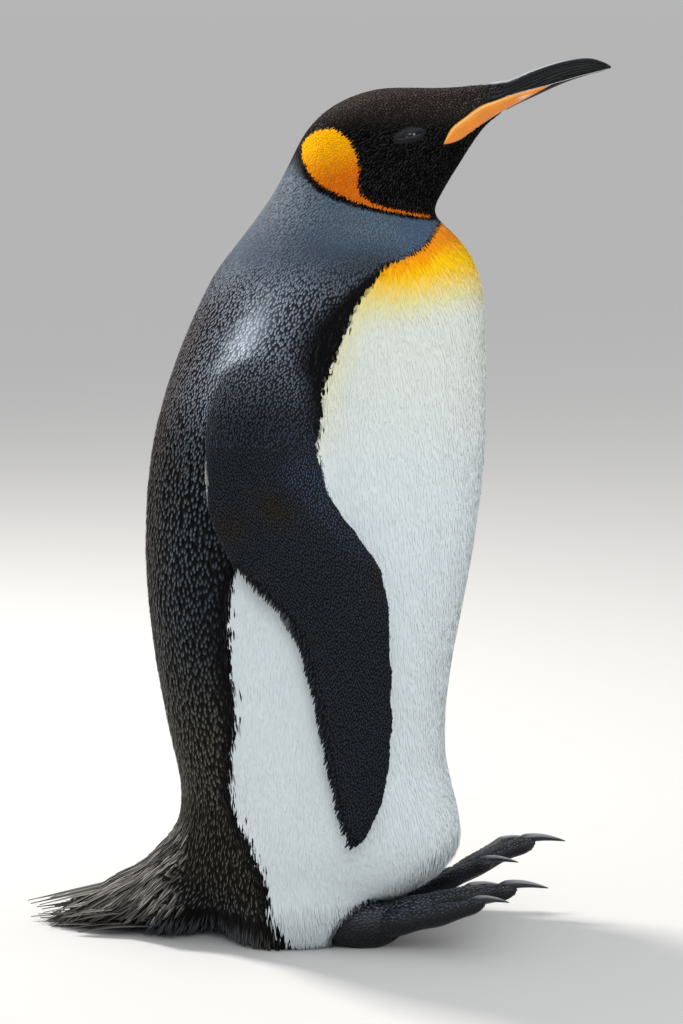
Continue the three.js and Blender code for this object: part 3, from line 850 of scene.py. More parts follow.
@dataclass
class Body:
    """The skin under all the feathers, with the places that the coat grows from."""

    voxel: float = 3 * MM
    swell: float = 0.5 * MM
    flesh: tuple[str, ...] = ("head", "neck", "chest", "belly", "rump", "leg_left", "leg_right")
    flippers: tuple[str, ...] = ("flipper_arm_left", "flipper_hand_left", "flipper_arm_right", "flipper_hand_right")
    # tail root: upper (x, z), lower (x, z), half width, from the rump backwards
    tail_rows: Table = (
        (-70, 138, -70, 12, 64), (-138, 94, -118, 1, 81), (-163, 65, -152, 1, 68), (-190, 50, -185, 1, 51),
        (-213, 36, -209, 2, 34), (-226, 21, -223, 6, 15),
    )
    tail_square: float = 2.2
    shoulder_spread: int = 26
    shoulder_rounds: float = 120
    # the lie of the feathers near a place in side view: its x and z, the way ahead and up, its reach
    streams: Table = (
        (165, 785, -1, -0.1, 30), (120, 765, -1, -0.35, 30), (95, 785, -1, 0, 30), (40, 785, -1, -0.25, 30),
        (0, 760, -0.75, -0.7, 30), (-25, 715, -0.45, -1, 35), (60, 735, -1, -0.75, 30),
        (20, 720, -0.7, -0.9, 30), (110, 720, -0.55, -1, 30), (100, 690, -0.35, -1, 30),
        (40, 670, -0.35, -1, 35), (115, 655, 0.35, -1, 25), (-60, 650, -0.75, -1, 45),
        (20, 600, -0.25, -1, 50), (130, 600, 0.2, -1, 45), (-100, 580, -0.45, -1, 60),
        (-140, 460, -0.1, -1, 70), (0, 480, 0, -1, 80), (140, 460, 0, -1, 80), (-150, 330, 0.08, -1, 70),
        (0, 330, 0.05, -1, 80), (120, 300, -0.05, -1, 80), (-120, 200, 0.05, -1, 50), (0, 170, 0.05, -1, 70),
        (110, 140, 0.1, -1, 60), (-125, 130, -0.35, -1, 30), (-60, 90, -0.1, -1, 30), (-145, 80, -1, -0.8, 30),
        (-100, 40, -0.8, -1, 30), (-190, 40, -1, -0.3, 40), (0, 50, 0, -1, 50), (60, 50, 0.7, -1, 34),
        (90, 75, 0.3, -1, 30),
    )
    flipper_axis: Table = (
        (-20, 84, 600), (-35, 104, 530), (-32, 122, 465), (-14, 137, 415), (14, 144, 375), (35, 147, 335),
        (48, 145, 280), (56, 141, 220), (60, 137, 165), (58, 131, 107),
    )
    shell: Shell = field(init=False)
    normals: Rows = field(init=False)
    on_flipper: Rows = field(init=False)

    def tail_root(self) -> Shell:
        """The fleshy root of the tail."""
        rows = curve(self.tail_rows, np.linspace(0, len(self.tail_rows) - 1, 18))
        rise, spread = section(np.full(18, self.tail_square), circle(40))
        rings = hung(rows[:, 0:2], rows[:, 2:4], rows[:, 4], rise, spread)
        rings[:, :, 0] += ORIGIN_X
        return loft(rings * MM)

    def coat_depth(self, points: Points, flipper: Rows) -> Rows:
        """How deep the skin lies under the coat's tips, in m.

        Args:
            points: places in m.
            flipper: how much each belongs to a flipper.

        Returns:
            Depths in m.
        """
        x, z = points[:, 0] / MM, points[:, 2] / MM
        depth = 1 + 1.6 * ease(720, 640, z) + 1.2 * ease(180, 60, z)
        depth -= 0.5 * ease(110, 150, x) * ease(700, 740, z)
        depth = depth * (1 - flipper) + 0.8 * flipper
        return depth * MM

    def flipper_share(self, points: Points) -> Rows:
        """How much each point belongs to a flipper, from 0 to 1."""
        gaps = []
        for names in (self.flesh, self.flippers):
            tree = joined([node_shell(name) for name in names]).tree()
            gaps.append(np.linalg.norm(points - snap(tree, points)[0], axis=1))
        return ease(-0.6 * MM, 0.6 * MM, gaps[0] - gaps[1])

    def build(self) -> None:
        """Fuses the flesh into one skin and sinks it by the coat's depth."""
        eyes = ("eye_left", "eye_right")
        shells = [node_shell(name, self.swell) for name in self.flesh + self.flippers + eyes]
        rough = remeshed(shells + [self.tail_root()], self.voxel)
        log.info("fused skin: %d triangles", len(rough.triangles))
        share = self.flipper_share(rough.points)
        x, z = rough.points[:, 0] / MM, rough.points[:, 2] / MM
        mean_of = rough.neighbour_mean()
        soft = share[:, None].copy()
        for _ in range(self.shoulder_spread):
            soft = mean_of(soft)
        soft = soft[:, 0]
        shoulder = ease(465, 500, z)
        junction = np.clip(6 * soft * (1 - soft), 0, 1) * shoulder
        rounds = 34 - 26 * share * (1 - shoulder) + self.shoulder_rounds * junction
        rounds -= 24 * ease(90, 150, x) * ease(690, 740, z)
        rounds = np.minimum(rounds, 4 + 30 * ease(0, 25, z))
        smooth = rough.smoothed(rounds)
        share = mix(share[:, None], soft[:, None], shoulder)[:, 0]
        sunk = smooth.moved(-self.coat_depth(smooth.points, share) + 0.3 * MM * (share < 0.5))
        sunk.points[:, 2] = np.maximum(sunk.points[:, 2], 0)
        self.shell = sunk
        self.normals = sunk.corner_normals()
        self.on_flipper = share

    def flow(self, points: Points, normals: Rows, flipper: Rows) -> Rows:
        """Which way the feathers lie at points of the skin.

        Args:
            points: places in m.
            normals: the skin's normals there.
            flipper: how much each belongs to a flipper.

        Returns:
            Unit directions along the skin.
        """
        x, z = points[:, 0] / MM, points[:, 2] / MM
        total = np.zeros_like(points)
        for at_x, at_z, ahead, up, reach in self.streams:
            gap = (x - at_x) ** 2 + (z - at_z) ** 2
            weight = np.exp(-gap / (2 * (0.7 * reach) ** 2)) + 1e-9 / (1 + gap)
            total += weight[:, None] * unit(np.array([ahead, 0.0, up]))
        trunk = unit(total)
        fan = np.zeros_like(points)
        fan[:, 1] = points[:, 1] * ease(-0.14, -0.24, points[:, 0]) * ease(0.1, 0.06, points[:, 2]) * 3
        trunk = trunk + fan
        axis = np.array(self.flipper_axis)
        along = np.array([np.interp(z, axis[::-1, 2], column) for column in np.gradient(axis, axis=0).T[:, ::-1]]).T
        along[:, 1] *= np.sign(points[:, 1])
        rear = ease(18, 8, Markings.flipper_rear.signed(x, z)) * ease(400, 340, z)
        wing = unit(along)
        wing[:, 0] -= 0.22 + 0.55 * rear
        return laid(mix(trunk, wing, flipper), normals)


@dataclass(frozen=True)
class Vane:
    """The shape of one kind of feather, in mm and shares of its size.

    rows are places along the feather: share of its length, share of its width, share of its thickness.
    """

    spacing: float
    length: float
    width: float
    thickness: float
    lift: float
    rows: Table
    turn: float = 7
    uneven: float = 0.14
    droop: float = 0
    relief: float = 1  # how strongly each feather is shaded as its own small dome
    patchy: float = 0.3
    free: float = 0  # how straight it stays where the skin turns away from under it


BROAD = ((0.42, 0.95, 1), (0.84, 0.72, 0.7))
SLIM = ((0.6, 1, 1),)
TAPERED = ((0.35, 1, 1), (0.75, 0.6, 0.8))


@dataclass
class Crop:
    """Feathers of one kind, ready to be grown: one row of each array for each feather."""

    roots: Points
    normals: Rows
    runs: Rows
    chart: Rows
    under: Rows
    tip: Rows
    size: Rows


def scatter(shell: Shell, wanted: Rows, spacing: float, chance: Chance) -> tuple[Points, Rows]:
    """Evenly spread places on a shell.

    Args:
        shell: the surface.
        wanted: whether each triangle takes any.
        spacing: the least distance between two, in m.
        chance: the random source.

    Returns:
        The places and the triangle under each.
    """
    triangles = np.nonzero(wanted)[0]
    a, b, c = (shell.points[shell.triangles[triangles, k]] for k in range(3))
    area = np.linalg.norm(np.cross(b - a, c - a), axis=1) / 2
    count = int(area.sum() / spacing**2 * 5) + 1
    picked = np.searchsorted(np.cumsum(area), chance.random(count) * area.sum())
    picked = np.minimum(picked, len(triangles) - 1)
    u, v = chance.random(count), chance.random(count)
    over = u + v > 1
    u, v = np.where(over, 1 - u, u)[:, None], np.where(over, 1 - v, v)[:, None]
    places = a[picked] + u * (b[picked] - a[picked]) + v * (c[picked] - a[picked])
    tree = KDTree(count)
    for row, point in enumerate(places.tolist()):
        tree.insert(point, row)
    tree.balance()
    free = bytearray(b"\x01") * count
    kept = []
    reach = tree.find_range
    for row, point in enumerate(places.tolist()):
        if free[row]:
            kept.append(row)
            for _, other, _ in reach(point, spacing):
                free[other] = 0
    kept = np.array(kept)
    return places[kept], triangles[picked[kept]]


def grown(crop: Crop, vane: Vane, tree: BVHTree, chance: Chance) -> tuple[Shell, Rows, Rows, Rows, Rows, Rows]:
    """Solid feathers over a surface.

    Args:
        crop: where they grow and their colours.
        vane: their shape.
        tree: the surface that they follow.
        chance: the random source.

    Returns:
        The shell, then rows for its points: normals, tip tints, under tints, vane places and chart places.
    """
    count = len(crop.roots)
    spread = chance.normal(0, math.radians(vane.turn), count)
    side = np.cross(crop.normals, crop.runs)
    run = unit(crop.runs * np.cos(spread)[:, None] + side * np.sin(spread)[:, None])
    side = unit(np.cross(crop.normals, run))
    vary = 1 + vane.uneven * chance.uniform(-1, 1, count)
    length = vane.length * MM * vary * crop.size
    width = vane.width * MM / 2 * (1 + 0.5 * vane.uneven * chance.uniform(-1, 1, count)) * crop.size
    lift = vane.lift * MM * (1 + 1.6 * vane.uneven * chance.uniform(-1, 1, count)) * np.sqrt(crop.size)
    thick = vane.thickness * MM
    luck = chance.random(count)

    stations = (0,) + tuple(row[0] for row in vane.rows) + (1,)
    centres, ups = [], []
    for share in stations:
        where = crop.roots + run * (length * share)[:, None]
        if share > 0:
            place_on, normal = snap(tree, where)
            beyond = where - place_on
            beyond -= normal * np.minimum(np.einsum("ij,ij->i", beyond, normal), 0)[:, None]
            place_on = place_on + beyond * vane.free
            height = lift * share**1.3
        else:
            place_on, normal = crop.roots, crop.normals
            height = -0.3 * lift
        normal = unit(0.5 * normal + 0.5 * crop.normals)
        centre = place_on + normal * height[:, None]
        centre[:, 2] -= vane.droop * MM * share**2
        centres.append(centre)
        ups.append(normal)

    points, normals, vanes = [], [], []

    def put(centre: Points, normal: Rows, across: float, along: float) -> None:
        """Adds one point of every feather."""
        points.append(centre)
        normals.append(unit(normal))
        vanes.append(np.stack([np.full(count, across), np.full(count, along), luck * 7], -1))

    put(centres[0], ups[0], 0, 0)
    for number, (share, broad, fat) in enumerate(vane.rows):
        centre, up = centres[number + 1], ups[number + 1]
        half = side * (width * broad)[:, None]
        rise = up * (thick * fat)
        put(centre - half, up - 0.35 * vane.relief * side, -1, share)
        put(centre + rise, up, 0, share)
        put(centre + half, up + 0.35 * vane.relief * side, 1, share)
    put(centres[-1], ups[-1] + 0.45 * vane.relief * run, 0, 1)

    faces = [(0, 1, 2), (0, 2, 3), (0, 3, 1)]
    for number in range(len(vane.rows) - 1):
        low, high = 1 + 3 * number, 4 + 3 * number
        faces += [(low, high, low + 1), (low + 1, high, high + 1)]
        faces += [(low + 1, high + 1, low + 2), (low + 2, high + 1, high + 2)]
        faces += [(low, low + 2, high), (high, low + 2, high + 2)]
    last, tip = 1 + 3 * (len(vane.rows) - 1), 1 + 3 * len(vane.rows)
    faces += [(last, tip, last + 1), (last + 1, tip, last + 2), (last + 2, tip, last)]
    each = tip + 1
    start = np.arange(count)[:, None, None] * each
    triangles = (start + np.array(faces)[None]).reshape(-1, 3).astype(np.int32)

    def together(columns: list[Rows]) -> Rows:
        """One row for each mesh point, feather by feather."""
        return np.stack(columns, 1).reshape(-1, columns[0].shape[-1])

    shell = Shell(together(points), triangles)
    where = together(vanes)
    chart = np.repeat(crop.chart, each, axis=0) + np.stack([where[:, 0] * 0.0013, (where[:, 1] - 0.5) * 0.0026], -1)
    bright = (1 + vane.patchy * (luck - 0.5))[:, None]
    tip_tint, under_tint = (np.repeat(colour * bright, each, axis=0) for colour in (crop.tip, crop.under))
    return shell, together(normals), tip_tint, under_tint, where, chart


def coat_piece(
    name: str, parts: list[tuple[Crop, Vane]], tree: BVHTree, material: Material, chance: Chance
) -> None:
    """One piece of the coat, with its tints, its vane places and its bake chart.

    Args:
        name: the piece's name.
        parts: the feathers of each kind.
        tree: the surface that they follow.
        material: the finish.
        chance: the random source.
    """
    shells, *columns = zip(*(grown(crop, vane, tree, chance) for crop, vane in parts if len(crop.roots)))
    normals, tips, unders, vanes, charts = (np.vstack(column) for column in columns)
    whole = joined(shells)
    whole.points[:, 2] = np.maximum(whole.points[:, 2], OFF_FLOOR)
    piece = place(name, whole, material)
    paint(piece, tint=np.clip(tips, 0, 1), under=np.clip(unders, 0, 1), vane=vanes)
    layer = piece.data.uv_layers.new(name="OFBake")
    layer.data.foreach_set("uv", charts[whole.triangles.ravel()].astype(np.float32).ravel())
    piece.data.normals_split_custom_set_from_vertices(normals.tolist())


@dataclass
class Plumage:
    """The coat over the whole bird, in pieces by region."""

    body: Body
    markings: Markings
    groups: Groups
    bill: "Bill"
    clearings: tuple[Callable[[Points], Rows], ...]
    trunk: BVHTree = field(init=False)
    wings: BVHTree = field(init=False)
    chance: Chance = field(init=False)

    def __post_init__(self) -> None:
        """Makes the surfaces that the coat follows."""
        shell, share = self.body.shell, self.body.on_flipper
        flipper_face = shell.over_faces(share) > 0.5
        height = shell.over_faces(shell.points)[:, 2] / MM
        self.trunk = shell.tree(~flipper_face | (height > 450))
        self.wings = shell.tree(flipper_face & (height < 515))
        self.chance = np.random.default_rng(SEED)

    def chart(self, points: Points, flipper: Rows) -> Rows:
        """Where points lie on the coat's own unwrap, from 0 to 1 each way.

        Args:
            points: places in m.
            flipper: how much each belongs to a flipper.

        Returns:
            Chart places.
        """
        x, y, z = (points[:, k] for k in range(3))
        centre_x = np.interp(z, [0, 0.2, 0.5, 0.65, 0.72, 0.8], [-0.03, -0.01, 0, 0.03, 0.06, 0.09])
        around = np.arctan2(y, x - centre_x) / (2 * math.pi) + 0.5
        trunk = np.stack([0.005 + 0.99 * around, 0.01 + 0.98 * np.clip(z / 0.82, 0, 1)], -1)
        outer = np.abs(y) > np.interp(z, [0.1, 0.25, 0.35, 0.42, 0.5, 0.6], [0.131, 0.143, 0.147, 0.138, 0.114, 0.085])
        wide = np.clip((x + 0.09) / 0.2, 0, 1)
        wing = np.stack([0.01 + 0.48 * wide + 0.5 * outer, 0.01 + 0.98 * np.clip((z - 0.1) / 0.5, 0, 1)], -1)
        return mix(trunk, wing, (flipper > 0.5).astype(float))

    def crop(self, wanted: Rows, spacing: float, is_dark: bool) -> Crop:
        """Feathers spread over part of the skin.

        Args:
            wanted: whether each triangle of the skin takes any.
            spacing: the distance between them in mm.
            is_dark: whether all of them keep out of the white front.

        Returns:
            The crop.
        """
        shell = self.body.shell
        roots, faces = scatter(shell, wanted, spacing * MM, self.chance)
        for clearing in self.clearings:
            keep = ~clearing(roots)
            roots, faces = roots[keep], faces[keep]
        corners = shell.triangles[faces]
        normals = unit(self.body.normals[corners].mean(1))
        flipper = (self.body.on_flipper[corners].mean(1) > 0.5).astype(float)
        inner = flipper * ease(0.1, -0.3, normals[:, 1] * np.sign(roots[:, 1]))
        runs = self.body.flow(roots, normals, flipper)
        ragged = self.chance.normal(0, 1, len(roots))
        if is_dark:
            ragged = -np.abs(ragged)
        share = ease(0.2, 0.8, self.body.on_flipper[corners].mean(1))
        under, tip = self.markings.paint(roots + runs * spacing * MM, ragged, share, inner)
        return Crop(roots, normals, runs, self.chart(roots, flipper), under, tip, np.ones(len(roots)))

    def build(self) -> None:
        """Grows every region."""
        shell = self.body.shell
        rows = (shell.points, self.body.normals, self.body.on_flipper)
        centre, normal, share = (shell.over_faces(values) for values in rows)
        x, y, z = (centre[:, k] / MM for k in range(3))
        jitter = self.chance.uniform(-1, 1, len(z))
        flipper = (share > 0.5) & (z + 14 * jitter < 485)
        white = self.markings.into_white(centre)
        hood = self.markings.hood_edge.signed(x, z) > 0
        left = y > 0
        legs = (z < 52 + 0.7 * np.maximum(x - 60, 0)) & (x > -90) & (white > -8)
        front = (white > 0) & ~flipper & ~hood & ~legs
        dark = ~front & ~flipper & ~hood & ~legs
        collar = dark & (z + 16 * jitter > 612 + 0.12 * x) & (x + 14 * jitter > -80)
        mantle = dark & ~collar & (z + 30 * jitter > 470)
        tail = dark & (z + 8 * jitter < 150)
        back = dark & ~collar & ~mantle & ~tail
        flank = (white + 3 * jitter > -10) & (z < 460)
        skirt = tail & (z < 42) & (x > -128)
        quilled = tail & (x + 6 * jitter < -128) & (z < 108) & (normal[:, 2] > -0.3)

        finishes = (
            PlumeFinish("velvet feathers", 0.8, (0.35, 0.85), strength=0.4, bump=0.1, specular=0.01),
            PlumeFinish("collar feathers", 0.6, (0.2, 0.85), (0.6, 1.3), strength=0.3, bump=0.1),
            PlumeFinish("back feathers", 0.5, (0.58, 0.96), (0.2, 0.9), strength=0.5),
            PlumeFinish("shoulder feathers", 0.5, (0.4, 0.9), (0.3, 1.1), strength=0.4),
            PlumeFinish("white feathers", 0.6, (0.1, 0.7), barbs=14, slant=0.2, strength=0.12, mottling=0.08),
            PlumeFinish("flipper feathers", 0.5, (0.45, 0.95), (0.25, 1), bump=0.2),
        )
        made = {finish.name.split()[0]: finish.material(self.groups) for finish in finishes}

        face = Vane(1.5, 4.2, 1.7, 0.16, 0.5, SLIM, relief=0.35)
        neck = Vane(1.7, 5, 2, 0.18, 0.6, SLIM, relief=0.5, patchy=0.2)
        cape = Vane(2.4, 7.6, 3, 0.22, 1.1, BROAD)
        arm = Vane(2.1, 6.2, 2.6, 0.18, 0.8, BROAD)
        scale = Vane(3.9, 13.5, 5.2, 0.3, 1.7, BROAD, turn=5)
        hairy = Vane(2.3, 10.5, 1.7, 0.16, 1.1, TAPERED, turn=8, uneven=0.25)
        downy = Vane(2.3, 13, 2.1, 0.09, 0.45, TAPERED, turn=4, uneven=0.2, relief=0.1, patchy=0.04)
        fringe = Vane(2, 19, 1.5, 0.14, 0.9, TAPERED, turn=7, uneven=0.3, relief=0.2, patchy=0.06, free=0.5)
        hanging = Vane(2.8, 24, 2, 0.2, 3, TAPERED, turn=9, uneven=0.3, droop=9, free=0.5)
        covert = Vane(3.3, 13, 3.6, 0.28, 1.8, TAPERED, turn=7, uneven=0.2, free=0.3)
        wing = Vane(1.9, 5.2, 2.2, 0.18, 0.55, SLIM, turn=4)
        quill = Vane(2.6, 10.5, 2.6, 0.3, 1.1, TAPERED, turn=3, uneven=0.1, free=0.8)

        on_arm = mantle & (share > 0.4) & (z < 560)
        trailing = flipper & (normal[:, 1] * np.sign(y) > 0) & (self.markings.flipper_rear.signed(x, z) < 12)
        trailing &= z < 372

        for side, mine in ((Side.RIGHT, ~left), (Side.LEFT, left)):
            rump = ((tail & ~flank & ~skirt & ~quilled, covert), (tail & flank & ~skirt, hairy), (skirt, hanging))
            rows = (
                ("hood", Slot.HOOD, "velvet", self.trunk, ((hood, face),)),
                ("collar", Slot.COLLAR, "collar", self.trunk, ((collar, neck),)),
                ("mantle", Slot.BACK, "shoulder", self.trunk, ((mantle & ~on_arm, cape), (on_arm, arm))),
                ("back", Slot.BACK, "back", self.trunk, ((back & ~flank, scale), (back & flank, hairy))),
                ("front", Slot.BELLY, "white", self.trunk, ((front, downy),)),
                ("hem", Slot.BELLY, "white", self.trunk, ((legs, fringe),)),
                ("tail", Slot.TAIL, "back", self.trunk, rump),
                ("flipper", Slot.FLIPPER, "flipper", self.wings, ((flipper & ~trailing, wing), (trailing, quill))),
            )
            for name, slot, finish, tree, kinds in rows:
                is_dark = slot is not Slot.BELLY
                parts = [(self.crop(where & mine, kind.spacing, is_dark), kind) for where, kind in kinds]
                coat_piece(f"coat_{name}_{side.label}", parts, tree, made[finish], self.chance)
        bridle, horn = [(self.bridle(), face)], self.bill.horn.tree()
        coat_piece("coat_bridle", bridle, horn, made["velvet"], self.chance)

    def bridle(self) -> Crop:
        """The face's feathers where they run out over the upper horn."""
        horn = self.bill.horn
        roots, faces = scatter(horn, self.bill.feathered(), 1.4 * MM, self.chance)
        normals = unit(horn.over_faces(horn.corner_normals())[faces])
        none = np.zeros(len(roots))
        runs = self.body.flow(roots, normals, none)
        ragged = self.chance.normal(0, 1, len(roots))
        under, tip = self.markings.paint(roots + runs * MM, ragged, none, none)
        return Crop(roots, normals, runs, self.chart(roots, none), under, tip, np.full(len(roots), 0.9))


def clothe_skin(body: Body, markings: Markings, groups: Groups) -> None:
    """Shows the built skin with the coat's own markings.

    Args:
        body: the skin.
        markings: where the colours lie.
        groups: the shared node groups.
    """
    inner = body.on_flipper * ease(0.1, -0.3, body.normals[:, 1] * np.sign(body.shell.points[:, 1]))
    under, _ = markings.paint(body.shell.points, np.zeros(len(body.normals)), body.on_flipper, inner)
    finish = SkinFinish("feathered skin", roughness=0.8).material(groups)
    piece = place("skin", body.shell, finish, body.flesh + body.flippers + ("tail",))
    paint(piece, tint=np.clip(under, 0, 1))


@dataclass(frozen=True)
class GlossFinish:
    """Horn and other hard smooth cover: a tint with long grooves, scuffs and a gloss."""

    name: str
    roughness: float = 0.26
    scuffs: float = 0.4
    scuff_colour: tuple[float, float, float] = (0.42, 0.43, 0.42)
    stretch: tuple[float, float, float] = (14, 110, 30)
    coat: float = 0.25
    bump: float = 0.35
    specular: float = 0.5

    def material(self, groups: Groups) -> Material:
        """The finish as a material, from the shared node groups."""
        material, nodes, shader = new_material(self.name)
        stretch = {0: nodes.painted("vane", "Vector"), 1: self.stretch}
        place_in = nodes.add("VectorMath", stretch, operation="MULTIPLY").outputs[0]
        streak = nodes.add("TexNoise", {"Vector": place_in, "Scale": 1, "Detail": 5, "Roughness": 0.6})
        scuff = nodes.ramp(streak.outputs["Fac"], 0.60, 0.72)
        mottle = nodes.use(groups["mottle"], {"Patch Scale": 60, "Grain Scale": 1400, "Strength": 0.5})
        colour = nodes.shaded(nodes.painted("tint"), mottle.outputs["Shade"])
        fine = nodes.math("MULTIPLY", mottle.outputs["Grain"], 0.15)
        height = nodes.math("ADD", streak.outputs["Fac"], fine)
        surface = {
            "Base Color": nodes.blend(nodes.math("MULTIPLY", scuff, self.scuffs), colour, (*self.scuff_colour, 1)),
            "Roughness": nodes.math("ADD", self.roughness, nodes.math("MULTIPLY", scuff, 0.3)),
            "Normal": nodes.relief(self.bump, 0.0005, height),
            "Coat Weight": self.coat,
            "Coat Roughness": 0.12,
            "Specular IOR Level": self.specular,
        }
        nodes.feed(shader, surface)
        return material


@dataclass
class Bill:
    """The two horn halves of the bill and the coloured plates at its base."""

    groups: Groups
    # from the tip to the face: upper (x, z), lower (x, z), half width, squareness
    rows: Table = (
        (266, 806, 265.5, 804.4, 1.2, 2), (259, 810, 257, 801.5, 2.9, 2), (245, 813.5, 242, 797.5, 4.6, 2.1),
        (222, 811, 222, 790.5, 6.3, 2.2), (196, 803, 198, 779.5, 8.2, 2.3), (170, 792.5, 174, 768, 9.8, 2.3),
        (146, 789.5, 156, 756, 13.2, 2.25), (118, 787.5, 143, 741, 19.5, 2.2), (90, 788, 134, 726, 27, 2.15),
        (58, 788, 125, 710, 33.5, 2.1),
    )
    mouth: Line = Line((
        (100, 715), (116, 737), (123, 751), (135, 761), (148, 770.5), (166, 777.5), (186, 783.5), (210, 789.5),
        (236, 797), (262, 803.5), (290, 812),
    ))
    plate_under: Table = ((116, 736), (124, 737.5), (134, 742), (148, 752.5), (166, 764.5), (193, 779), (213, 790))
    # the feathers run forward in a wedge, under a thin sliver of horn along the top
    feather_edge_upper: Line = Line((
        (100, 790.6), (147.5, 790.4), (169.5, 788), (153.6, 776.2), (148, 770.5), (141, 764), (100, 700),
    ))
    feather_edge_lower: Line = Line(((166, 790), (167, 777), (172, 766), (174, 750)))
    root_row: float = 6.4
    arc: int = 72
    floor: int = 10
    gap: float = 0.25
    horn: Shell = field(init=False)
    # height on the side, breadth and depth of each long groove
    grooves: Table = ((0.56, 0.07, 1.3), (0.28, 0.05, 0.8), (0.02, 0.05, 0.9), (-0.26, 0.05, 0.8), (-0.52, 0.05, 0.6))

    def mouth_share(self, upper: Rows, lower: Rows, offset: float) -> Rows:
        """Where each ring crosses the mouth line, from -1 at its lower point to 1 at its upper.

        Args:
            upper: upper points (x, z).
            lower: lower points (x, z).
            offset: how far above the line to look, in mm.

        Returns:
            One share for each ring.
        """
        shares = np.linspace(1, -1, 161)
        middle, along = (upper + lower) / 2, (upper - lower) / 2
        flat = middle[:, None, :] + along[:, None, :] * shares[None, :, None]
        above = self.mouth.signed(flat[:, :, 0], flat[:, :, 1]) > offset
        first_below = np.argmin(above, axis=1)
        return shares[np.clip(first_below, 1, 160)]

    def half(self, is_upper: bool) -> tuple[Shell, Rows, Rows]:
        """One half of the bill.

        Args:
            is_upper: the upper half, or the lower.

        Returns:
            Its shell, its vane places and its tints.
        """
        places_at = np.concatenate([even(22)[:-1] ** 1.6, np.linspace(1, self.root_row, 80)])
        rows = curve(self.rows, places_at)
        upper, lower, half, square = rows[:, 0:2], rows[:, 2:4], rows[:, 4], rows[:, 5]
        offset = self.gap if is_upper else -self.gap
        meet = self.mouth_share(upper, lower, offset)
        bound = np.arccos(np.clip(bowed(meet, square / 2), -1, 1))
        sweep = np.linspace(-1, 1, self.arc)
        angles = bound[:, None] * sweep if is_upper else math.pi + (math.pi - bound[:, None]) * sweep
        rise, spread = section(square, angles)
        inset = np.ones_like(rise)
        if is_upper:
            window = ease(0.25, 1.2, places_at)[:, None]
            for level, breadth, depth in self.grooves:
                inset -= depth * window * np.exp(-(((rise - level) / breadth) ** 2)) / half[:, None]
        back_share = np.linspace(0, 1, self.floor + 2)[1:-1]
        spread = np.hstack([spread * inset, spread[:, -1:] * (1 - 2 * back_share)])
        rise = np.hstack([rise, np.broadcast_to(rise[:, -1:], (len(rows), self.floor))])
        rings = hung(upper, lower, half, rise, spread)
        side_x, side_z = rings[:, :, 0], rings[:, :, 2]
        if is_upper:
            behind = self.feather_edge_upper.inside(side_x, side_z) * 2
        else:
            behind = -self.feather_edge_lower.signed(side_x, side_z)
        # a thin sliver of the horn stays bare along the top of the feathers
        sliver = ease(172, 166, side_x) * ease(0.5, -0.3, behind) * is_upper
        sliver = sliver * ease(148, 160, side_x)
        deep = 2.4 - 1.8 * ease(154, 160, side_x) * is_upper
        tuck = (deep * ease(-0.5, 2.5, behind) - 1.1 * sliver)[:, :, None]
        centre = rings.mean(1, keepdims=True)
        rings = rings - unit(rings - centre) * tuck
        rings[:, :, 0] += ORIGIN_X
        shell = loft(rings * MM)
        across = np.broadcast_to(np.sign(spread) * (1 - rise) / 2, rise.shape)
        along_bill = np.broadcast_to((places_at / self.root_row)[:, None], rise.shape)
        vane = np.stack([along_bill, across, rise], -1).reshape(-1, 3)
        vane = np.vstack([vane, vane[:1], vane[-1:]])
        dark, blue = linear(2, 3, 5), linear(8, 14, 26)
        lit = ease(0.2, 0.95, np.vstack([rise.reshape(-1, 1), [[1]], [[1]]])[:, 0])
        tint = mix(dark, blue, 0.55 * lit)
        top_x = np.append(side_x.ravel(), [side_x[0, 0], side_x[-1, 0]])
        # painted highlight: a pale line along the culmen, standing for the light's reflection there
        culmen_highlight = ease(0.86, 0.99, vane[:, 2]) * ease(244, 214, top_x) * ease(146, 164, top_x)
        tint = mix(tint, linear(196, 204, 212), 0.6 * culmen_highlight * is_upper)
        return shell, vane, tint

    def plate_over(self) -> Table:
        """The part of the mouth line that the plates meet."""
        return tuple(point for point in self.mouth.points if 116 <= point[0] <= 210)

    def plate(self, side: Side, face: BVHTree) -> tuple[Shell, Rows, Rows]:
        """One coloured plate, a thin crowned shell on the lower half of the bill.

        Args:
            side: which side of the bill.
            face: the surface that it lies on.

        Returns:
            Its shell, its vane places and its tints.
        """
        top = np.array(self.plate_over())
        top[:, 1] -= 0.5
        length, breadth = 64, 12
        shares = even(length)
        upper, lower = resampled(top, shares), resampled(np.array(self.plate_under), shares)
        levels = even(breadth)
        flat = lower[:, None, :] + (upper - lower)[:, None, :] * levels[None, :, None]
        outer = np.empty((length, breadth, 3))
        for row in range(length):
            for column in range(breadth):
                x, z = flat[row, column] * MM
                start = (x + ORIGIN_X * MM, side.value * 0.1, z)
                hit, _, _, _ = face.ray_cast(start, (0, -side.value, 0))
                outer[row, column] = hit if hit is not None else (start[0], side.value * 0.001, z)
        crown = (1 - np.abs(2 * levels - 1) ** 5)[None, :] * ease(0, 0.06, shares)[:, None]
        crown *= ease(1, 0.9, shares)[:, None]
        proud = (0.35 + 1.15 * crown) * MM * side.value
        over, under = outer.copy(), outer.copy()
        over[:, :, 1] += proud
        under[:, :, 1] -= 0.6 * MM * side.value
        rings = np.concatenate([over, under[:, ::-1]], axis=1)
        shell = loft(rings)
        level = np.concatenate([levels, levels[::-1]])
        along = np.broadcast_to(shares[:, None], (length, 2 * breadth))
        vane = np.stack([along, np.broadcast_to(level, along.shape), along * 0], -1).reshape(-1, 3)
        vane = np.vstack([vane, vane[:1], vane[-1:]])
        deep, pale, streak = linear(212, 120, 14), linear(230, 164, 54), linear(236, 214, 190)
        tint = mix(deep, pale, 0.8 * ease(0.45, 1, vane[:, 1]))
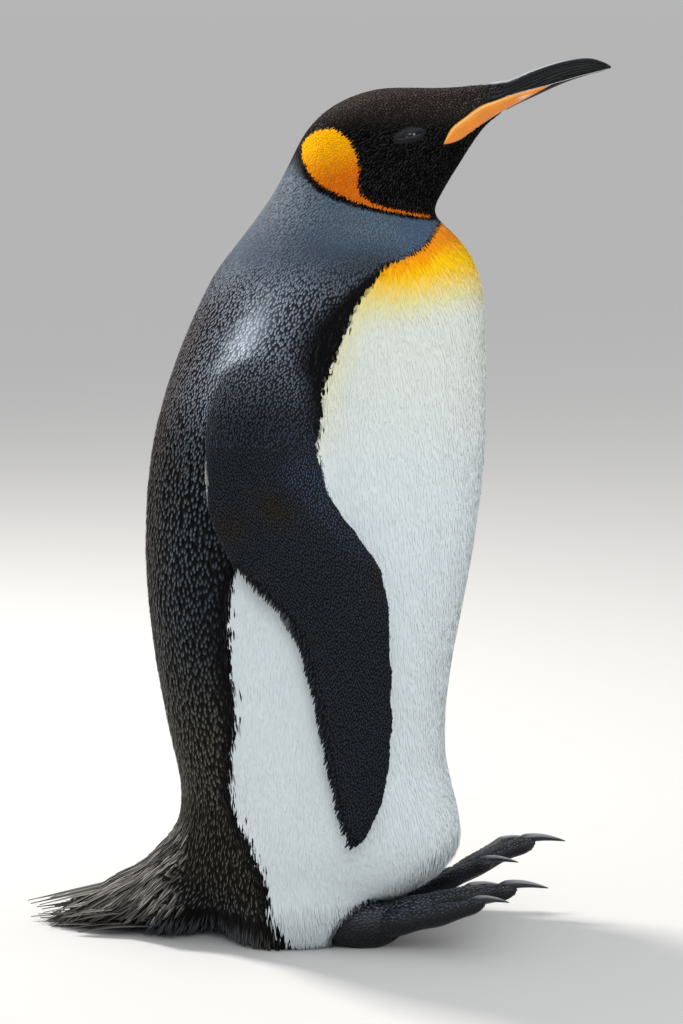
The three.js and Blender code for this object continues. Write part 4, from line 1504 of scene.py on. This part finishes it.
        spot = np.exp(-(((vane[:, 0] - 0.76) / 0.05) ** 2) - ((vane[:, 1] - 0.32) / 0.14) ** 2)
        tint = mix(tint, streak, 0.75 * spot)
        rim = np.maximum(ease(0.03, 0, vane[:, 0]), 0.7 * ease(0.08, 0, vane[:, 1]))
        tint = mix(tint, deep * 0.5, rim)
        return shell, vane, tint

    def feathered(self) -> Rows:
        """Which triangles of the upper horn carry the narrow end of the face's feathers."""
        centre = self.horn.over_faces(self.horn.points) / MM
        x, z = centre[:, 0] - ORIGIN_X, centre[:, 2]
        return (x > 155) & (self.feather_edge_upper.inside(x, z) > 0)

    def bare(self, points: Points) -> Rows:
        """Which places lie under a plate."""
        outline = Line(self.plate_over() + self.plate_under[::-1])
        x, z = points[:, 0] / MM - ORIGIN_X, points[:, 2] / MM
        horn = (x > 147.5) & (self.mouth.signed(x, z) > 0) & (self.feather_edge_upper.inside(x, z) < 0)
        return (outline.inside(x, z) > 0.4) | horn

    def build(self) -> None:
        """Makes both halves and both plates."""
        horn = GlossFinish("bill horn", roughness=0.24, coat=0.02, specular=0.16, scuffs=0.25).material(self.groups)
        wax = GlossFinish("bill plate", 0.34, 0.18, (0.86, 0.66, 0.5), (9, 7, 1), coat=0.25, bump=0.12)
        wax = wax.material(self.groups)
        for name, is_upper in (("upper", True), ("lower", False)):
            shell, vane, tint = self.half(is_upper)
            if is_upper:
                self.horn = shell
            piece = place(f"bill_{name}_horn", shell, horn, (f"bill_{name}",))
            paint(piece, vane=vane, tint=tint)
        rows = curve(self.rows, np.linspace(0.3, 8.8, 120))
        rings = hung(rows[:, 0:2], rows[:, 2:4], rows[:, 4], *section(rows[:, 5], circle(96)))
        rings[:, :, 0] += ORIGIN_X
        face = loft(rings * MM).tree()
        for side in Side:
            shell, vane, tint = self.plate(side, face)
            piece = place(f"bill_plate_{side.label}", shell, wax, (f"mandible_plate_{side.label}",))
            paint(piece, vane=vane, tint=tint)


def resampled(points: Rows, shares: Rows) -> Rows:
    """A smooth line through points, read at shares of its length.

    Args:
        points: the points that it passes through.
        shares: shares of its length.

    Returns:
        One point for each share.
    """
    fine = curve(points, np.linspace(0, len(points) - 1, 400))
    steps = np.concatenate([[0], np.cumsum(np.linalg.norm(np.diff(fine, axis=0), axis=1))])
    steps /= steps[-1]
    return np.stack([np.interp(shares, steps, fine[:, k]) for k in range(fine.shape[1])], -1)


@dataclass
class Eyes:
    """Dark wet eyes behind half-closed lids."""

    groups: Groups
    body: Body
    slit_rise: float = 13  # degrees that the slit climbs towards the bill
    slit_half: float = 12
    slit_up: float = 1.5
    slit_down: float = 1.9
    lid_half: float = 18
    lid_tall: float = 10
    cornea: float = 0.9
    segments: int = 56

    def frame_at(self, side: Side) -> tuple[Rows, float, Rows, Rows, Rows]:
        """The eye's centre, radius, outward axis, slit axis and upward axis."""
        low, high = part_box(f"eye_{side.label}")
        centre = np.array((low + high) / 2)
        radius = (high.x - low.x) / 2
        out = unit(np.array([0.16, side.value * 1, 0.04]))
        rise = math.radians(self.slit_rise)
        slit = np.array([math.cos(rise), 0, math.sin(rise)])
        slit = unit(slit - out * slit.dot(out))
        up = unit(np.cross(slit, out) * side.value)
        up = up if up[2] > 0 else -up
        return centre, radius, out, slit, up

    def ball(self, side: Side, material: Material) -> None:
        """The eyeball, with its raised cornea and dark iris."""
        centre, radius, out, slit, up = self.frame_at(side)
        turns = np.linspace(0.02, math.pi - 0.02, 40)
        around = circle(self.segments)
        bulge = self.cornea * MM * np.exp(-((turns / 0.42) ** 4))
        reach = radius + bulge
        ahead = (reach * np.cos(turns))[:, None, None] * out
        ring = np.cos(around)[None, :, None] * slit + np.sin(around)[None, :, None] * up
        rings = centre + ahead + (reach * np.sin(turns))[:, None, None] * ring
        piece = place(f"eyeball_{side.label}", loft(rings), material, (f"eye_{side.label}",))
        angle = np.concatenate([np.repeat(turns, self.segments), [0, math.pi]])
        pupil, iris, white = linear(5, 4, 4), linear(48, 38, 16), linear(22, 20, 18)
        tint = mix(pupil, iris, ease(0.22, 0.27, angle))
        paint(piece, tint=mix(tint, white, ease(0.56, 0.62, angle)))

    def lids(self, side: Side, skin: BVHTree, material: Material) -> None:
        """The two lids round the slit, thick at the rim and merging with the face.

        Args:
            side: which eye.
            skin: the face's skin.
            material: the lids' finish.
        """
        centre, radius, out, slit, up = self.frame_at(side)
        around = circle(self.segments * 2)
        cos, sin = np.cos(around), np.sin(around)
        tall = np.where(sin > 0, self.slit_up, self.slit_down)
        inner = np.stack([self.slit_half * bowed(cos, 0.9), tall * sin * (1 - 0.25 * cos**2)], -1)
        outer = np.stack([self.lid_half * cos, self.lid_tall * sin], -1)
        shares = np.array([0, 0, 0.02, 0.06, 0.11, 0.17, 0.24, 0.32, 0.42, 0.55, 0.7, 0.85, 1, 1])
        sink = np.array([-1.6, -0.5, 0.35, 0.75, 0.6, 0.2, 0.45, 0.6, 0.5, 0.35, 0.2, 0, -0.6, -2])
        rings = np.empty((len(shares), len(around), 3))
        for row, (share, rise) in enumerate(zip(shares, sink)):
            flat = (inner + (outer - inner) * share) * MM
            for column, (u, v) in enumerate(flat):
                ball_height = math.sqrt(max(radius**2 - u * u - v * v, 0))
                start = centre + slit * u + up * v + out * 0.03
                hit, _, _, distance = skin.ray_cast(Vector(start), Vector(-out), 0.06)
                face_height = 0.03 - distance if hit is not None else ball_height
                over = 0.6 * MM
                high, low = max(ball_height + over, face_height), min(ball_height + over, face_height)
                soft = high + 0.4 * MM * math.exp(-(high - low) / (0.8 * MM))
                height = (soft if share < 1 else face_height) + rise * MM
                rings[row, column] = centre + slit * u + up * v + out * height
        shell = loft(rings, closed_ends=False)
        first = np.arange(len(around))
        following = (first + 1) % len(around)
        last, last_on = (ring + (len(shares) - 1) * len(around) for ring in (first, following))
        # behind the lids, their outer ring joins their inner
        behind = [np.stack(corners, -1) for corners in ((last, last_on, first), (last_on, following, first))]
        closed = Shell(shell.points, np.vstack([shell.triangles] + behind))
        piece = place(f"eyelids_{side.label}", closed, material)
        level = np.repeat(shares, len(around))
        below = np.tile(sin, len(shares)) < 0.1
        rim = np.exp(-(((level - 0.04) / 0.05) ** 2))
        dark, blue = linear(12, 11, 13), linear(70, 80, 98)
        tint = mix(dark, blue, rim * np.where(below, 0.7, 0.25))
        # painted highlight: a soft bluish sheen on the bulge of the upper lid
        sheen = np.exp(-(((level - 0.36) / 0.16) ** 2)) * np.tile(np.clip(sin, 0, 1), len(shares))
        paint(piece, tint=mix(tint, blue, 0.22 * sheen))

    def bare(self, points: Points) -> Rows:
        """Which places are too near a slit for feathers."""
        found = np.zeros(len(points), bool)
        for side in Side:
            centre, _, out, slit, up = self.frame_at(side)
            off = (points - centre) / MM
            u, v, w = off @ slit, off @ up, off @ out
            found |= (w > 0) & ((u / (self.slit_half + 2)) ** 2 + ((v + 0.2) / (self.slit_down + 2)) ** 2 < 1)
        return found

    def build(self) -> None:
        """Makes both eyes with their lids."""
        wet = GlossFinish("wet eye", 0.12, scuffs=0, coat=0.3, bump=0, specular=0.3).material(self.groups)
        lid = SkinFinish("eyelid", 0.6, grain=1500, bump=0.5, depth=0.0003, specular=0.15).material(self.groups)
        skin = self.body.shell.tree(self.body.shell.over_faces(self.body.on_flipper) <= 0.5)
        for side in Side:
            self.ball(side, wet)
            self.lids(side, skin, lid)


@dataclass(frozen=True)
class Toe:
    """One toe: its turn outwards in degrees, and its sizes in mm."""

    name: str
    turn: float
    length: float
    root: float
    tip: float
    arch: float


@dataclass
class Feet:
    """Scaly webbed feet rocked back on their heels, with long claws."""

    groups: Groups
    voxel: float = 1.25 * MM
    toes: tuple[Toe, ...] = (
        Toe("inner", -12, 112, 14.5, 7.6, -3),
        Toe("middle", 5, 148, 15.5, 8.2, 0),
        Toe("outer", 20, 128, 15, 7.8, -8),
        Toe("hallux", -54, 38, 6, 4, -5),
    )
    # share of the length and height of the middle toe
    left_rise: Table = ((0, 0), (0.25, 5), (0.44, 14), (0.58, 24), (0.78, 39), (0.9, 46), (1, 50))
    right_rise: Table = ((0, 0), (0.27, 12), (0.47, 21), (0.64, 27.5), (0.845, 34), (1, 39))
    left_ahead: float = 9
    ankle: tuple[float, float, float] = (42, 60, 21)
    ankle_size: tuple[float, float, float] = (44, 25, 25)
    toe_root: float = 20
    web_reach: float = 0.84
    knuckles: float = 3
    claw_arch: float = 6
    claw_base: float = 4.3
    claw_buried: float = 10
    scute: Vane = Vane(2.6, 3.1, 2.8, 0.6, 0.15, BROAD, turn=5, uneven=0.12, relief=2)

    def ankle_x(self, side: Side) -> float:
        """How far ahead a foot's ankle is, in mm."""
        return self.ankle[0] + ORIGIN_X + (self.left_ahead if side is Side.LEFT else 0)

    def centre(self, side: Side, toe: Toe, shares: Rows) -> Rows:
        """Points along a toe's centre line, in mm.

        Args:
            side: which foot.
            toe: the toe.
            shares: shares of its length.

        Returns:
            One point for each share.
        """
        rise = np.array(self.left_rise if side is Side.LEFT else self.right_rise)
        fine = curve(rise, np.linspace(0, len(rise) - 1, 200))
        height = np.interp(shares, fine[:, 0], fine[:, 1]) * toe.length / self.toes[1].length
        turn = math.radians(toe.turn)
        ahead = toe.length * shares
        x = self.ankle_x(side) + ahead * math.cos(turn)
        y = side.value * (self.ankle[1] + ahead * math.sin(turn))
        return np.stack([x, y, self.toe_root + height + toe.arch * np.sin(math.pi * shares)], -1)

    def toe_shell(self, side: Side, toe: Toe) -> Shell:
        """One toe, with its knuckles, cross folds and round pad."""
        end = 0.9 + 0.1 * np.sin(np.linspace(0, math.pi / 2, 10))
        shares = np.concatenate([np.linspace(0, 0.9, 44)[:-1], end])
        middle = self.centre(side, toe, shares)
        around = circle(28)
        knuckle = 1 + 0.07 * np.cos(2 * math.pi * self.knuckles * shares)
        radius = (toe.root + (toe.tip - toe.root) * shares) * knuckle
        radius = radius * np.sqrt(np.maximum(1 - np.clip((shares - 0.9) / 0.1, 0, 1) ** 2, 0.02))
        folds = 0.30 * np.sin(shares * toe.length * 2 * math.pi / 4.6) * ease(0.2, 0.5, shares)
        top = np.clip(np.cos(around), 0, 1)
        reach = radius[:, None] + folds[:, None] * top[None, :]
        tall = np.where(np.cos(around) > 0, 0.92, 0.98)
        turn = math.radians(toe.turn)
        across = np.array([-side.value * math.sin(turn), math.cos(turn), 0])
        rings = middle[:, None, :] + (reach * np.sin(around))[:, :, None] * across
        rings[:, :, 2] += reach * np.cos(around) * tall
        return loft(rings * MM)

    def web(self, side: Side, toe: Toe, neighbour: Toe) -> Shell:
        """The web between two toes, thick at the root and thin at its scooped edge."""
        reach = self.web_reach * min(toe.length, neighbour.length)
        ahead = reach * (np.arange(16) + 0.5) / 15.5
        start, end = (self.centre(side, one, ahead / one.length) for one in (toe, neighbour))
        across = np.linspace(-1, 1, 12)
        scoop = 1 - 0.10 * (1 - across**2)
        thick = (4.6 - 3 * even(16)) + 0.5
        middle, half = (start + end) / 2, (end - start) / 2
        flat = middle[:, None, :] + half[:, None, :] * across[None, :, None]
        flat = flat[:1] + (flat - flat[:1]) * scoop[None, :, None]
        above, under = flat.copy(), flat[:, ::-1].copy()
        sag = 2.4 * (1 - across**2)
        above[:, :, 2] += thick[:, None] - sag
        under[:, :, 2] -= thick[:, None] + sag
        return loft(np.concatenate([above, under], axis=1) * MM)

    def ankle_shell(self, side: Side) -> Shell:
        """The round of the ankle."""
        turns = np.linspace(0.05, math.pi - 0.05, 20)
        around = circle(32)
        length, width, height = self.ankle_size
        x = np.repeat((self.ankle_x(side) + length * np.cos(turns))[:, None], 32, axis=1)
        ring = np.sin(turns)[:, None] * np.stack([np.sin(around) * width, np.cos(around) * height])[:, None, :]
        return loft(np.stack([x, side.value * self.ankle[1] + ring[0], self.ankle[2] + ring[1]], -1) * MM)

    def foot(self, side: Side, finish: Material, scales: Material) -> None:
        """One foot and its scales.

        Args:
            side: which foot.
            finish: the skin between the scales.
            scales: the scales' finish.
        """
        parts = [self.ankle_shell(side)] + [self.toe_shell(side, toe) for toe in self.toes]
        parts += [self.web(side, toe, neighbour) for toe, neighbour in zip(self.toes[:2], self.toes[1:3])]
        shell = remeshed(parts, self.voxel).rounded(9)
        shell.points[:, 2] = np.maximum(shell.points[:, 2], OFF_FLOOR)
        normals = shell.corner_normals()
        piece = place(f"foot_skin_{side.label}", shell, finish, (f"foot_{side.label}",))
        lit = ease(-0.2, 0.9, normals[:, 2])
        paint(piece, tint=mix(linear(7, 8, 10), linear(16, 18, 23), lit))
        self.scutes(side, shell, normals, scales)

    def scutes(self, side: Side, shell: Shell, normals: Rows, material: Material) -> None:
        """Small flat scales over the top and the sides of a foot.

        Args:
            side: which foot.
            shell: the foot's skin.
            normals: its normals.
            material: the scales' finish.
        """
        chance = np.random.default_rng(SEED + side.value)
        up = shell.over_faces(normals)
        wanted = (up[:, 2] > -0.75) & (shell.over_faces(shell.points)[:, 2] > 0.003)
        roots, on = scatter(shell, wanted, self.scute.spacing * MM, chance)
        up_at = unit(up[on])
        run = np.zeros_like(roots)
        nearest = np.full(len(roots), 1e9)
        for toe in self.toes[:3]:
            line = self.centre(side, toe, even(24)) * MM
            ahead = unit(np.gradient(line, axis=0))
            gap = np.linalg.norm(roots[:, None, :] - line[None], axis=2)
            best = gap.argmin(1)
            closer = gap.min(1) < nearest
            nearest = np.where(closer, gap.min(1), nearest)
            run = np.where(closer[:, None], ahead[best], run)
        run = laid(run, up_at)
        low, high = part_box(f"foot_{side.label}")
        chart = np.stack([(roots[:, 0] - low.x) / (high.x - low.x), (roots[:, 1] - low.y) / (high.y - low.y)], -1)
        chart = 0.01 + np.clip(chart, 0, 1) * np.array([0.48, 0.98])
        chart[:, 0] += 0.5 * (up_at[:, 2] < 0.35)
        shade = 0.6 + 0.8 * chance.random(len(roots))
        # painted light: scales that face upwards are lighter, as if lit from above
        top = ease(0, 0.9, up_at[:, 2])
        tip = mix(linear(28, 31, 38), linear(76, 84, 98), top) * shade[:, None]
        under = np.broadcast_to(linear(5, 6, 8), roots.shape)
        size = 0.8 + 0.3 * ease(0.2, 0.09, roots[:, 0])
        crop = Crop(roots, up_at, run, chart, under, tip, size)
        coat_piece(f"scales_{side.label}", [(crop, self.scute)], shell.tree(), material, chance)

    def claw(self, side: Side, toe: Toe, material: Material) -> None:
        """One curved claw, from inside its toe's end to a fine point.

        Args:
            side: which foot.
            toe: the toe.
            material: the horn.
        """
        name = f"claw_{toe.name}_{side.label}"
        corners = node_shell(name).points
        tip = corners[np.argmax(corners[:, 0])]
        base = corners[np.argsort(corners[:, 0])[:6]].mean(0)
        length = np.linalg.norm(tip - base)
        scale = length / (39 * MM)
        back = unit(tip - base) * self.claw_buried * MM * scale
        root = base - back - np.array([0, 0, 3 * MM * scale])
        shares = even(30)
        bow = np.sin(math.pi * (0.2 + 0.8 * shares)) - math.sin(0.2 * math.pi) * (1 - shares)
        centre = root + (tip - root) * shares[:, None]
        centre[:, 2] += self.claw_arch * MM * scale * bow
        radius = self.claw_base * scale * (1 - shares**1.7) ** 0.9 * (0.4 + 0.6 * ease(0, 0.25, shares))
        radius = ((radius + 0.3) * MM)[:, None]
        across = unit(np.cross([0, 0, 1], tip - root))
        ahead = unit(np.gradient(centre, axis=0))
        upward = unit(np.cross(ahead, across))
        around = circle(20)
        keel = 1 + 0.10 * np.cos(2 * around)
        rings = centre[:, None, :] + (radius * np.sin(around) * 0.8)[:, :, None] * across
        rings = rings + (radius * np.cos(around) * keel)[:, :, None] * upward[:, None, :]
        piece = place(f"nail_{toe.name}_{side.label}", loft(rings), material, (name,))
        along = np.concatenate([np.repeat(shares, 20), [0, 1]])
        rise = np.concatenate([np.tile(np.cos(around), 30), [0, 0]])
        lit = ease(0.25, 1, rise) * ease(1, 0.7, along) * ease(0.1, 0.4, along) * 0.6
        tint = mix(linear(13, 14, 18), linear(158, 164, 172), lit)
        paint(piece, tint=tint, vane=np.stack([along, rise, along * 0], -1))

    def build(self) -> None:
        """Makes both feet and the eight claws."""
        finish = SkinFinish("foot skin", roughness=0.5, grain=1100, bump=0.5, depth=0.0005).material(self.groups)
        scales = PlumeFinish("foot scales", 0.4, (0, 0.5), (0.15, 0.95), strength=0.2, bump=0.1, specular=0.25)
        scale_finish = scales.material(self.groups)
        horn = GlossFinish("claw horn", roughness=0.3, scuffs=0.35, stretch=(6, 10, 1)).material(self.groups)
        for side in Side:
            self.foot(side, finish, scale_finish)
            for toe in self.toes:
                self.claw(side, toe, horn)


@dataclass
class Tail:
    """Long stiff tail feathers with shorter coverts over them, worn pale at their edges."""

    groups: Groups
    body: Body
    # count, half fan at the root and at the tip, root height, tip height, sag at the sides, tip x, shortening
    layers: Table = (
        (8, 40, 40, 50, 17, 20, -284, 50), (10, 46, 48, 30, 10, 6, -278, 46), (11, 48, 52, 10, 3, 0, -282, 54),
    )
    root_x: float = -150
    half: float = 5
    thick: float = 1.3
    rings: int = 18
    # coverts: least x and greatest x of the roots, their spacing, shortest and longest
    coverts: tuple[float, ...] = (-214, -104, 5.6, 20, 62)
    section: Table = ((-1, 0), (-0.55, 0.35), (-0.14, 0.45), (0, 1), (0.14, 0.45), (0.55, 0.35), (1, 0), (0, -0.7))

    def blade(self, line: Rows, half: Rows, thick: Rows, across: Rows, luck: float) -> tuple[Shell, Rows]:
        """One solid feather with a raised shaft.

        Args:
            line: its shaft, in mm.
            half: half widths along it.
            thick: thicknesses along it.
            across: the direction of its width.
            luck: a number of its own.

        Returns:
            Its shell and its vane places.
        """
        section = np.array(self.section)
        ahead = unit(np.gradient(line, axis=0))
        upward = unit(np.cross(ahead, across) * np.sign(np.cross(ahead, across)[:, 2:3]))
        rings = line[:, None, :] + (half[:, None] * section[:, 0])[:, :, None] * across
        rings = rings + (thick[:, None] * section[:, 1])[:, :, None] * upward[:, None, :]
        rings[:, :, 2] = np.maximum(rings[:, :, 2], 0.5 + 0.1 * section[:, 1])
        shares = np.broadcast_to(even(len(line))[:, None], rings.shape[:2])
        places_in = np.broadcast_to(section[:, 0], rings.shape[:2])
        vane = np.stack([places_in, shares, np.full(rings.shape[:2], luck)], -1).reshape(-1, 3)
        return loft(rings * MM), np.vstack([vane, [[0, 0, luck], [0, 1, luck]]])

    def quill(self, layer: tuple[float, ...], number: int, chance: Chance) -> tuple[Shell, Rows]:
        """One long tail feather.

        Args:
            layer: its layer's row.
            number: its place in the layer.
            chance: the random source.

        Returns:
            Its shell and its vane places.
        """
        count, root_out, tip_out, root_z, tip_z, sag, reach, shorten = layer
        place_in = 2 * number / (count - 1) - 1
        wander = chance.uniform(-1, 1, 5)
        shares = even(self.rings)
        tip_x = reach + shorten * abs(place_in) ** 1.4 + 12 * abs(wander[0])
        x = self.root_x + (tip_x - self.root_x) * shares
        y = place_in * (root_out + (tip_out - root_out) * shares) + 3.5 * wander[1] * shares
        z = root_z - sag * place_in**2
        z = z + (tip_z + 2.5 * abs(wander[2]) - z) * shares + 4 * np.sin(math.pi * shares) * (0.4 + 0.4 * wander[3])
        half = self.half * (0.75 + 0.35 * np.sin(math.pi * shares**0.8)) * (1 - 0.9 * shares**4)
        half *= 1 + 0.06 * np.sin(shares * 46 + 6 * wander[4])
        line = np.stack([x + ORIGIN_X, y, z], -1)
        across = unit(np.array([0, 1, -(0.3 * place_in + 0.25 * wander[3])]))
        return self.blade(line, half, self.thick * (1 - 0.6 * shares), across, 5 * chance.random())

    def covert(
        self, skin: BVHTree, root: Rows, normal: Rows, run: Rows, length: float, chance: Chance
    ) -> tuple[Shell, Rows]:
        """One shorter feather that leaves the tail's root and bends over the skin.

        Args:
            skin: the skin that it keeps clear of.
            root: where it grows, in mm.
            normal: the skin's normal there.
            run: which way it lies.
            length: its length in mm.
            chance: the random source.

        Returns:
            Its shell and its vane places.
        """
        wander = chance.uniform(-1, 1, 4)
        shares = even(9)
        side = unit(np.cross(normal, run))
        run = unit(run + 0.10 * wander[0] * side)
        off = -0.8 + (4.4 + 1.6 * wander[1]) * shares - 2.2 * shares**2
        line = root + run * (length * shares)[:, None] + normal * off[:, None]
        for step in range(2, len(line)):
            at, outward, _, _ = skin.find_nearest(line[step] * MM)
            at, outward = np.array(at) / MM, np.array(outward)
            short_by = off[step] - outward.dot(line[step] - at)
            if short_by > 0:
                line[step] += outward * min(short_by, 9)
        half = (1.7 + 0.022 * length) * (0.7 + 0.4 * np.sin(math.pi * shares**0.8)) * (1 - 0.85 * shares**3.5)
        across = unit(side + 0.2 * wander[2] * normal)
        return self.blade(line, half, 0.9 * (1 - 0.5 * shares), across, 5 * chance.random())

    def cover(self, chance: Chance) -> list[tuple[Shell, Rows]]:
        """The coverts over the tail's root, longer towards its end."""
        shell = self.body.shell
        rear, fore, spacing, short, long = self.coverts
        centre, outward = shell.over_faces(shell.points) / MM, shell.over_faces(self.body.normals)
        wanted = (centre[:, 0] > rear) & (centre[:, 0] < fore) & (centre[:, 2] < 118) & (centre[:, 2] > 5)
        roots, on = scatter(shell, wanted & (outward[:, 2] > -0.35), spacing * MM, chance)
        normals = unit(outward[on])
        runs = self.body.flow(roots, normals, np.zeros(len(roots)))
        skin, found = shell.tree(), []
        for root, normal, run in zip(roots / MM, normals, runs):
            share = float(ease(fore, rear + 20, root[0]))
            share *= 1 - 0.45 * float(ease(60, 110, root[2]))
            length = (short + (long - short) * share) * (1 + 0.15 * chance.uniform(-1, 1))
            length = min(length, (root[0] + 262) / max(-run[0], 0.2))
            found.append(self.covert(skin, root, normal, run, length, chance))
        return found

    def build(self) -> None:
        """Makes the fan and its coverts, each as one piece."""
        chance = np.random.default_rng(SEED + 5)
        quills = [self.quill(layer, number, chance) for layer in self.layers for number in range(int(layer[0]))]
        stiff = PlumeFinish("stiff tail feathers", 0.5, (0, 0.02), (0.4, 1), 40, 0.12, bump=0.5)
        stiff = stiff.material(self.groups)
        self.gather("tail_feathers", quills, stiff, ("tail",))
        self.gather("tail_coverts", self.cover(chance), stiff, ())

    def gather(self, name: str, blades: list[tuple[Shell, Rows]], finish: Material, nodes: tuple[str, ...]) -> None:
        """Joins many feathers into one piece.

        Args:
            name: the piece's name.
            blades: shells and their vane places.
            finish: the material.
            nodes: the solid nodes that it replaces.
        """
        whole, vane = joined([shell for shell, _ in blades]), np.vstack([vane for _, vane in blades])
        piece = place(name, whole, finish, nodes)
        dark, edge = linear(13, 12, 13), linear(226, 222, 216)
        luck = (vane[:, 2] * 3.7) % 1
        low = ease(30, 8, whole.points[:, 2] / MM)
        pale = np.clip((0.2 + 0.8 * luck**1.5) * (1 - 0.3 * low), 0, 1)
        under, tint = mix(dark * 0.6, edge, pale), mix(dark, edge * 0.5, 0.3 * luck)
        paint(piece, under=under, tint=tint, vane=vane)


@dataclass
class Studio:
    """A pale floor, soft lights and the camera."""

    turn: float = 6
    pitch: float = 7.5
    distance: float = 3.3
    height: float = 0.83
    aim_x: float = 0.0308
    lens: float = 126.1
    floor_size: float = 200
    floor_shade: float = 0.5
    sky: float = 0.46
    lamp_aim: float = 0.45

    def floor(self) -> None:
        """The pale ground."""
        half = self.floor_size
        points = np.array([[-half, -half, 0], [half, -half, 0], [half, half, 0], [-half, half, 0]])
        mesh = Shell(points, np.array([[0, 1, 2], [0, 2, 3]])).mesh("floor")
        material, nodes, shader = new_material("pale floor")
        grey = (self.floor_shade,) * 3 + (1,)
        nodes.feed(shader, {"Base Color": grey, "Roughness": 1, "Specular IOR Level": 0})
        mesh.materials.append(material)
        added("floor", mesh)

    def lamp(self, name: str, at: tuple[float, ...], size: float, power: float, colour: tuple[float, ...]) -> None:
        """One soft rectangular light that faces the bird.

        Args:
            name: its name.
            at: where it hangs, in m.
            size: its side in m.
            power: its power in watts.
            colour: its colour.
        """
        data = bpy.data.lights.new(name, "AREA")
        data.shape, data.size, data.energy, data.color = "SQUARE", size, power, colour
        lamp = added(name, data)
        lamp.location = at
        lamp.rotation_euler = (Vector((0, 0, self.lamp_aim)) - Vector(at)).to_track_quat("-Z", "Y").to_euler()

    def build(self) -> None:
        """Sets the stage."""
        self.floor()
        world = bpy.data.worlds.new("studio")
        world.use_nodes = True
        nodes = Nodes(world.node_tree)
        # a sky this much brighter overhead makes the far floor as bright as the horizon
        climb = (1 / self.floor_shade - 1) * 1.5
        height = nodes.add("SeparateXYZ", {0: nodes.add("TexCoord").outputs["Generated"]}).outputs[2]
        level = nodes.math("MULTIPLY", nodes.math("ADD", 1, nodes.math("MULTIPLY", height, climb)), self.sky)
        nodes.feed(world.node_tree.nodes["Background"], {"Color": (1, 1, 1, 1), "Strength": level})
        bpy.context.scene.world = world
        self.lamp("sun", (-1.6, 1.1, 2.5), 0.5, 120, (1, 0.96, 0.9))
        self.lamp("window", (0.6, -2.6, 2), 1.6, 34, (0.95, 0.98, 1))
        self.lamp("side", (2.6, -0.4, 1.3), 1, 16, (1, 0.99, 0.97))

    def camera(self) -> None:
        """The camera, level with the crown and tipped slightly down."""
        turn, pitch = math.radians(self.turn), math.radians(self.pitch)
        data = bpy.data.cameras.new("camera")
        data.sensor_fit, data.sensor_height, data.lens, data.clip_end = "VERTICAL", 36, self.lens, 1000
        camera = added("camera", data)
        x = self.aim_x + self.distance * math.sin(turn)
        camera.location = (x, -self.distance * math.cos(turn), self.height)
        camera.rotation_euler = (math.pi / 2 - pitch, 0, turn)
        bpy.context.scene.camera = camera


def main() -> None:
    """Builds the bird and its stage, piece by piece."""
    logging.basicConfig(level=logging.INFO, format="%(relativeCreated)d %(message)s")
    studio = Studio()
    studio.camera()
    studio.build()
    groups = {"barbs": barb_group(), "tips": tip_group(), "mottle": mottle_group()}
    markings = Markings()
    body = Body()
    body.build()
    clothe_skin(body, markings, groups)
    bill = Bill(groups)
    bill.build()
    eyes = Eyes(groups, body)
    eyes.build()
    Feet(groups).build()
    Tail(groups, body).build()
    Plumage(body, markings, groups, bill, (eyes.bare, bill.bare)).build()
    bpy.context.scene.view_settings.view_transform = "Standard"


if __name__ == "__main__":
    main()
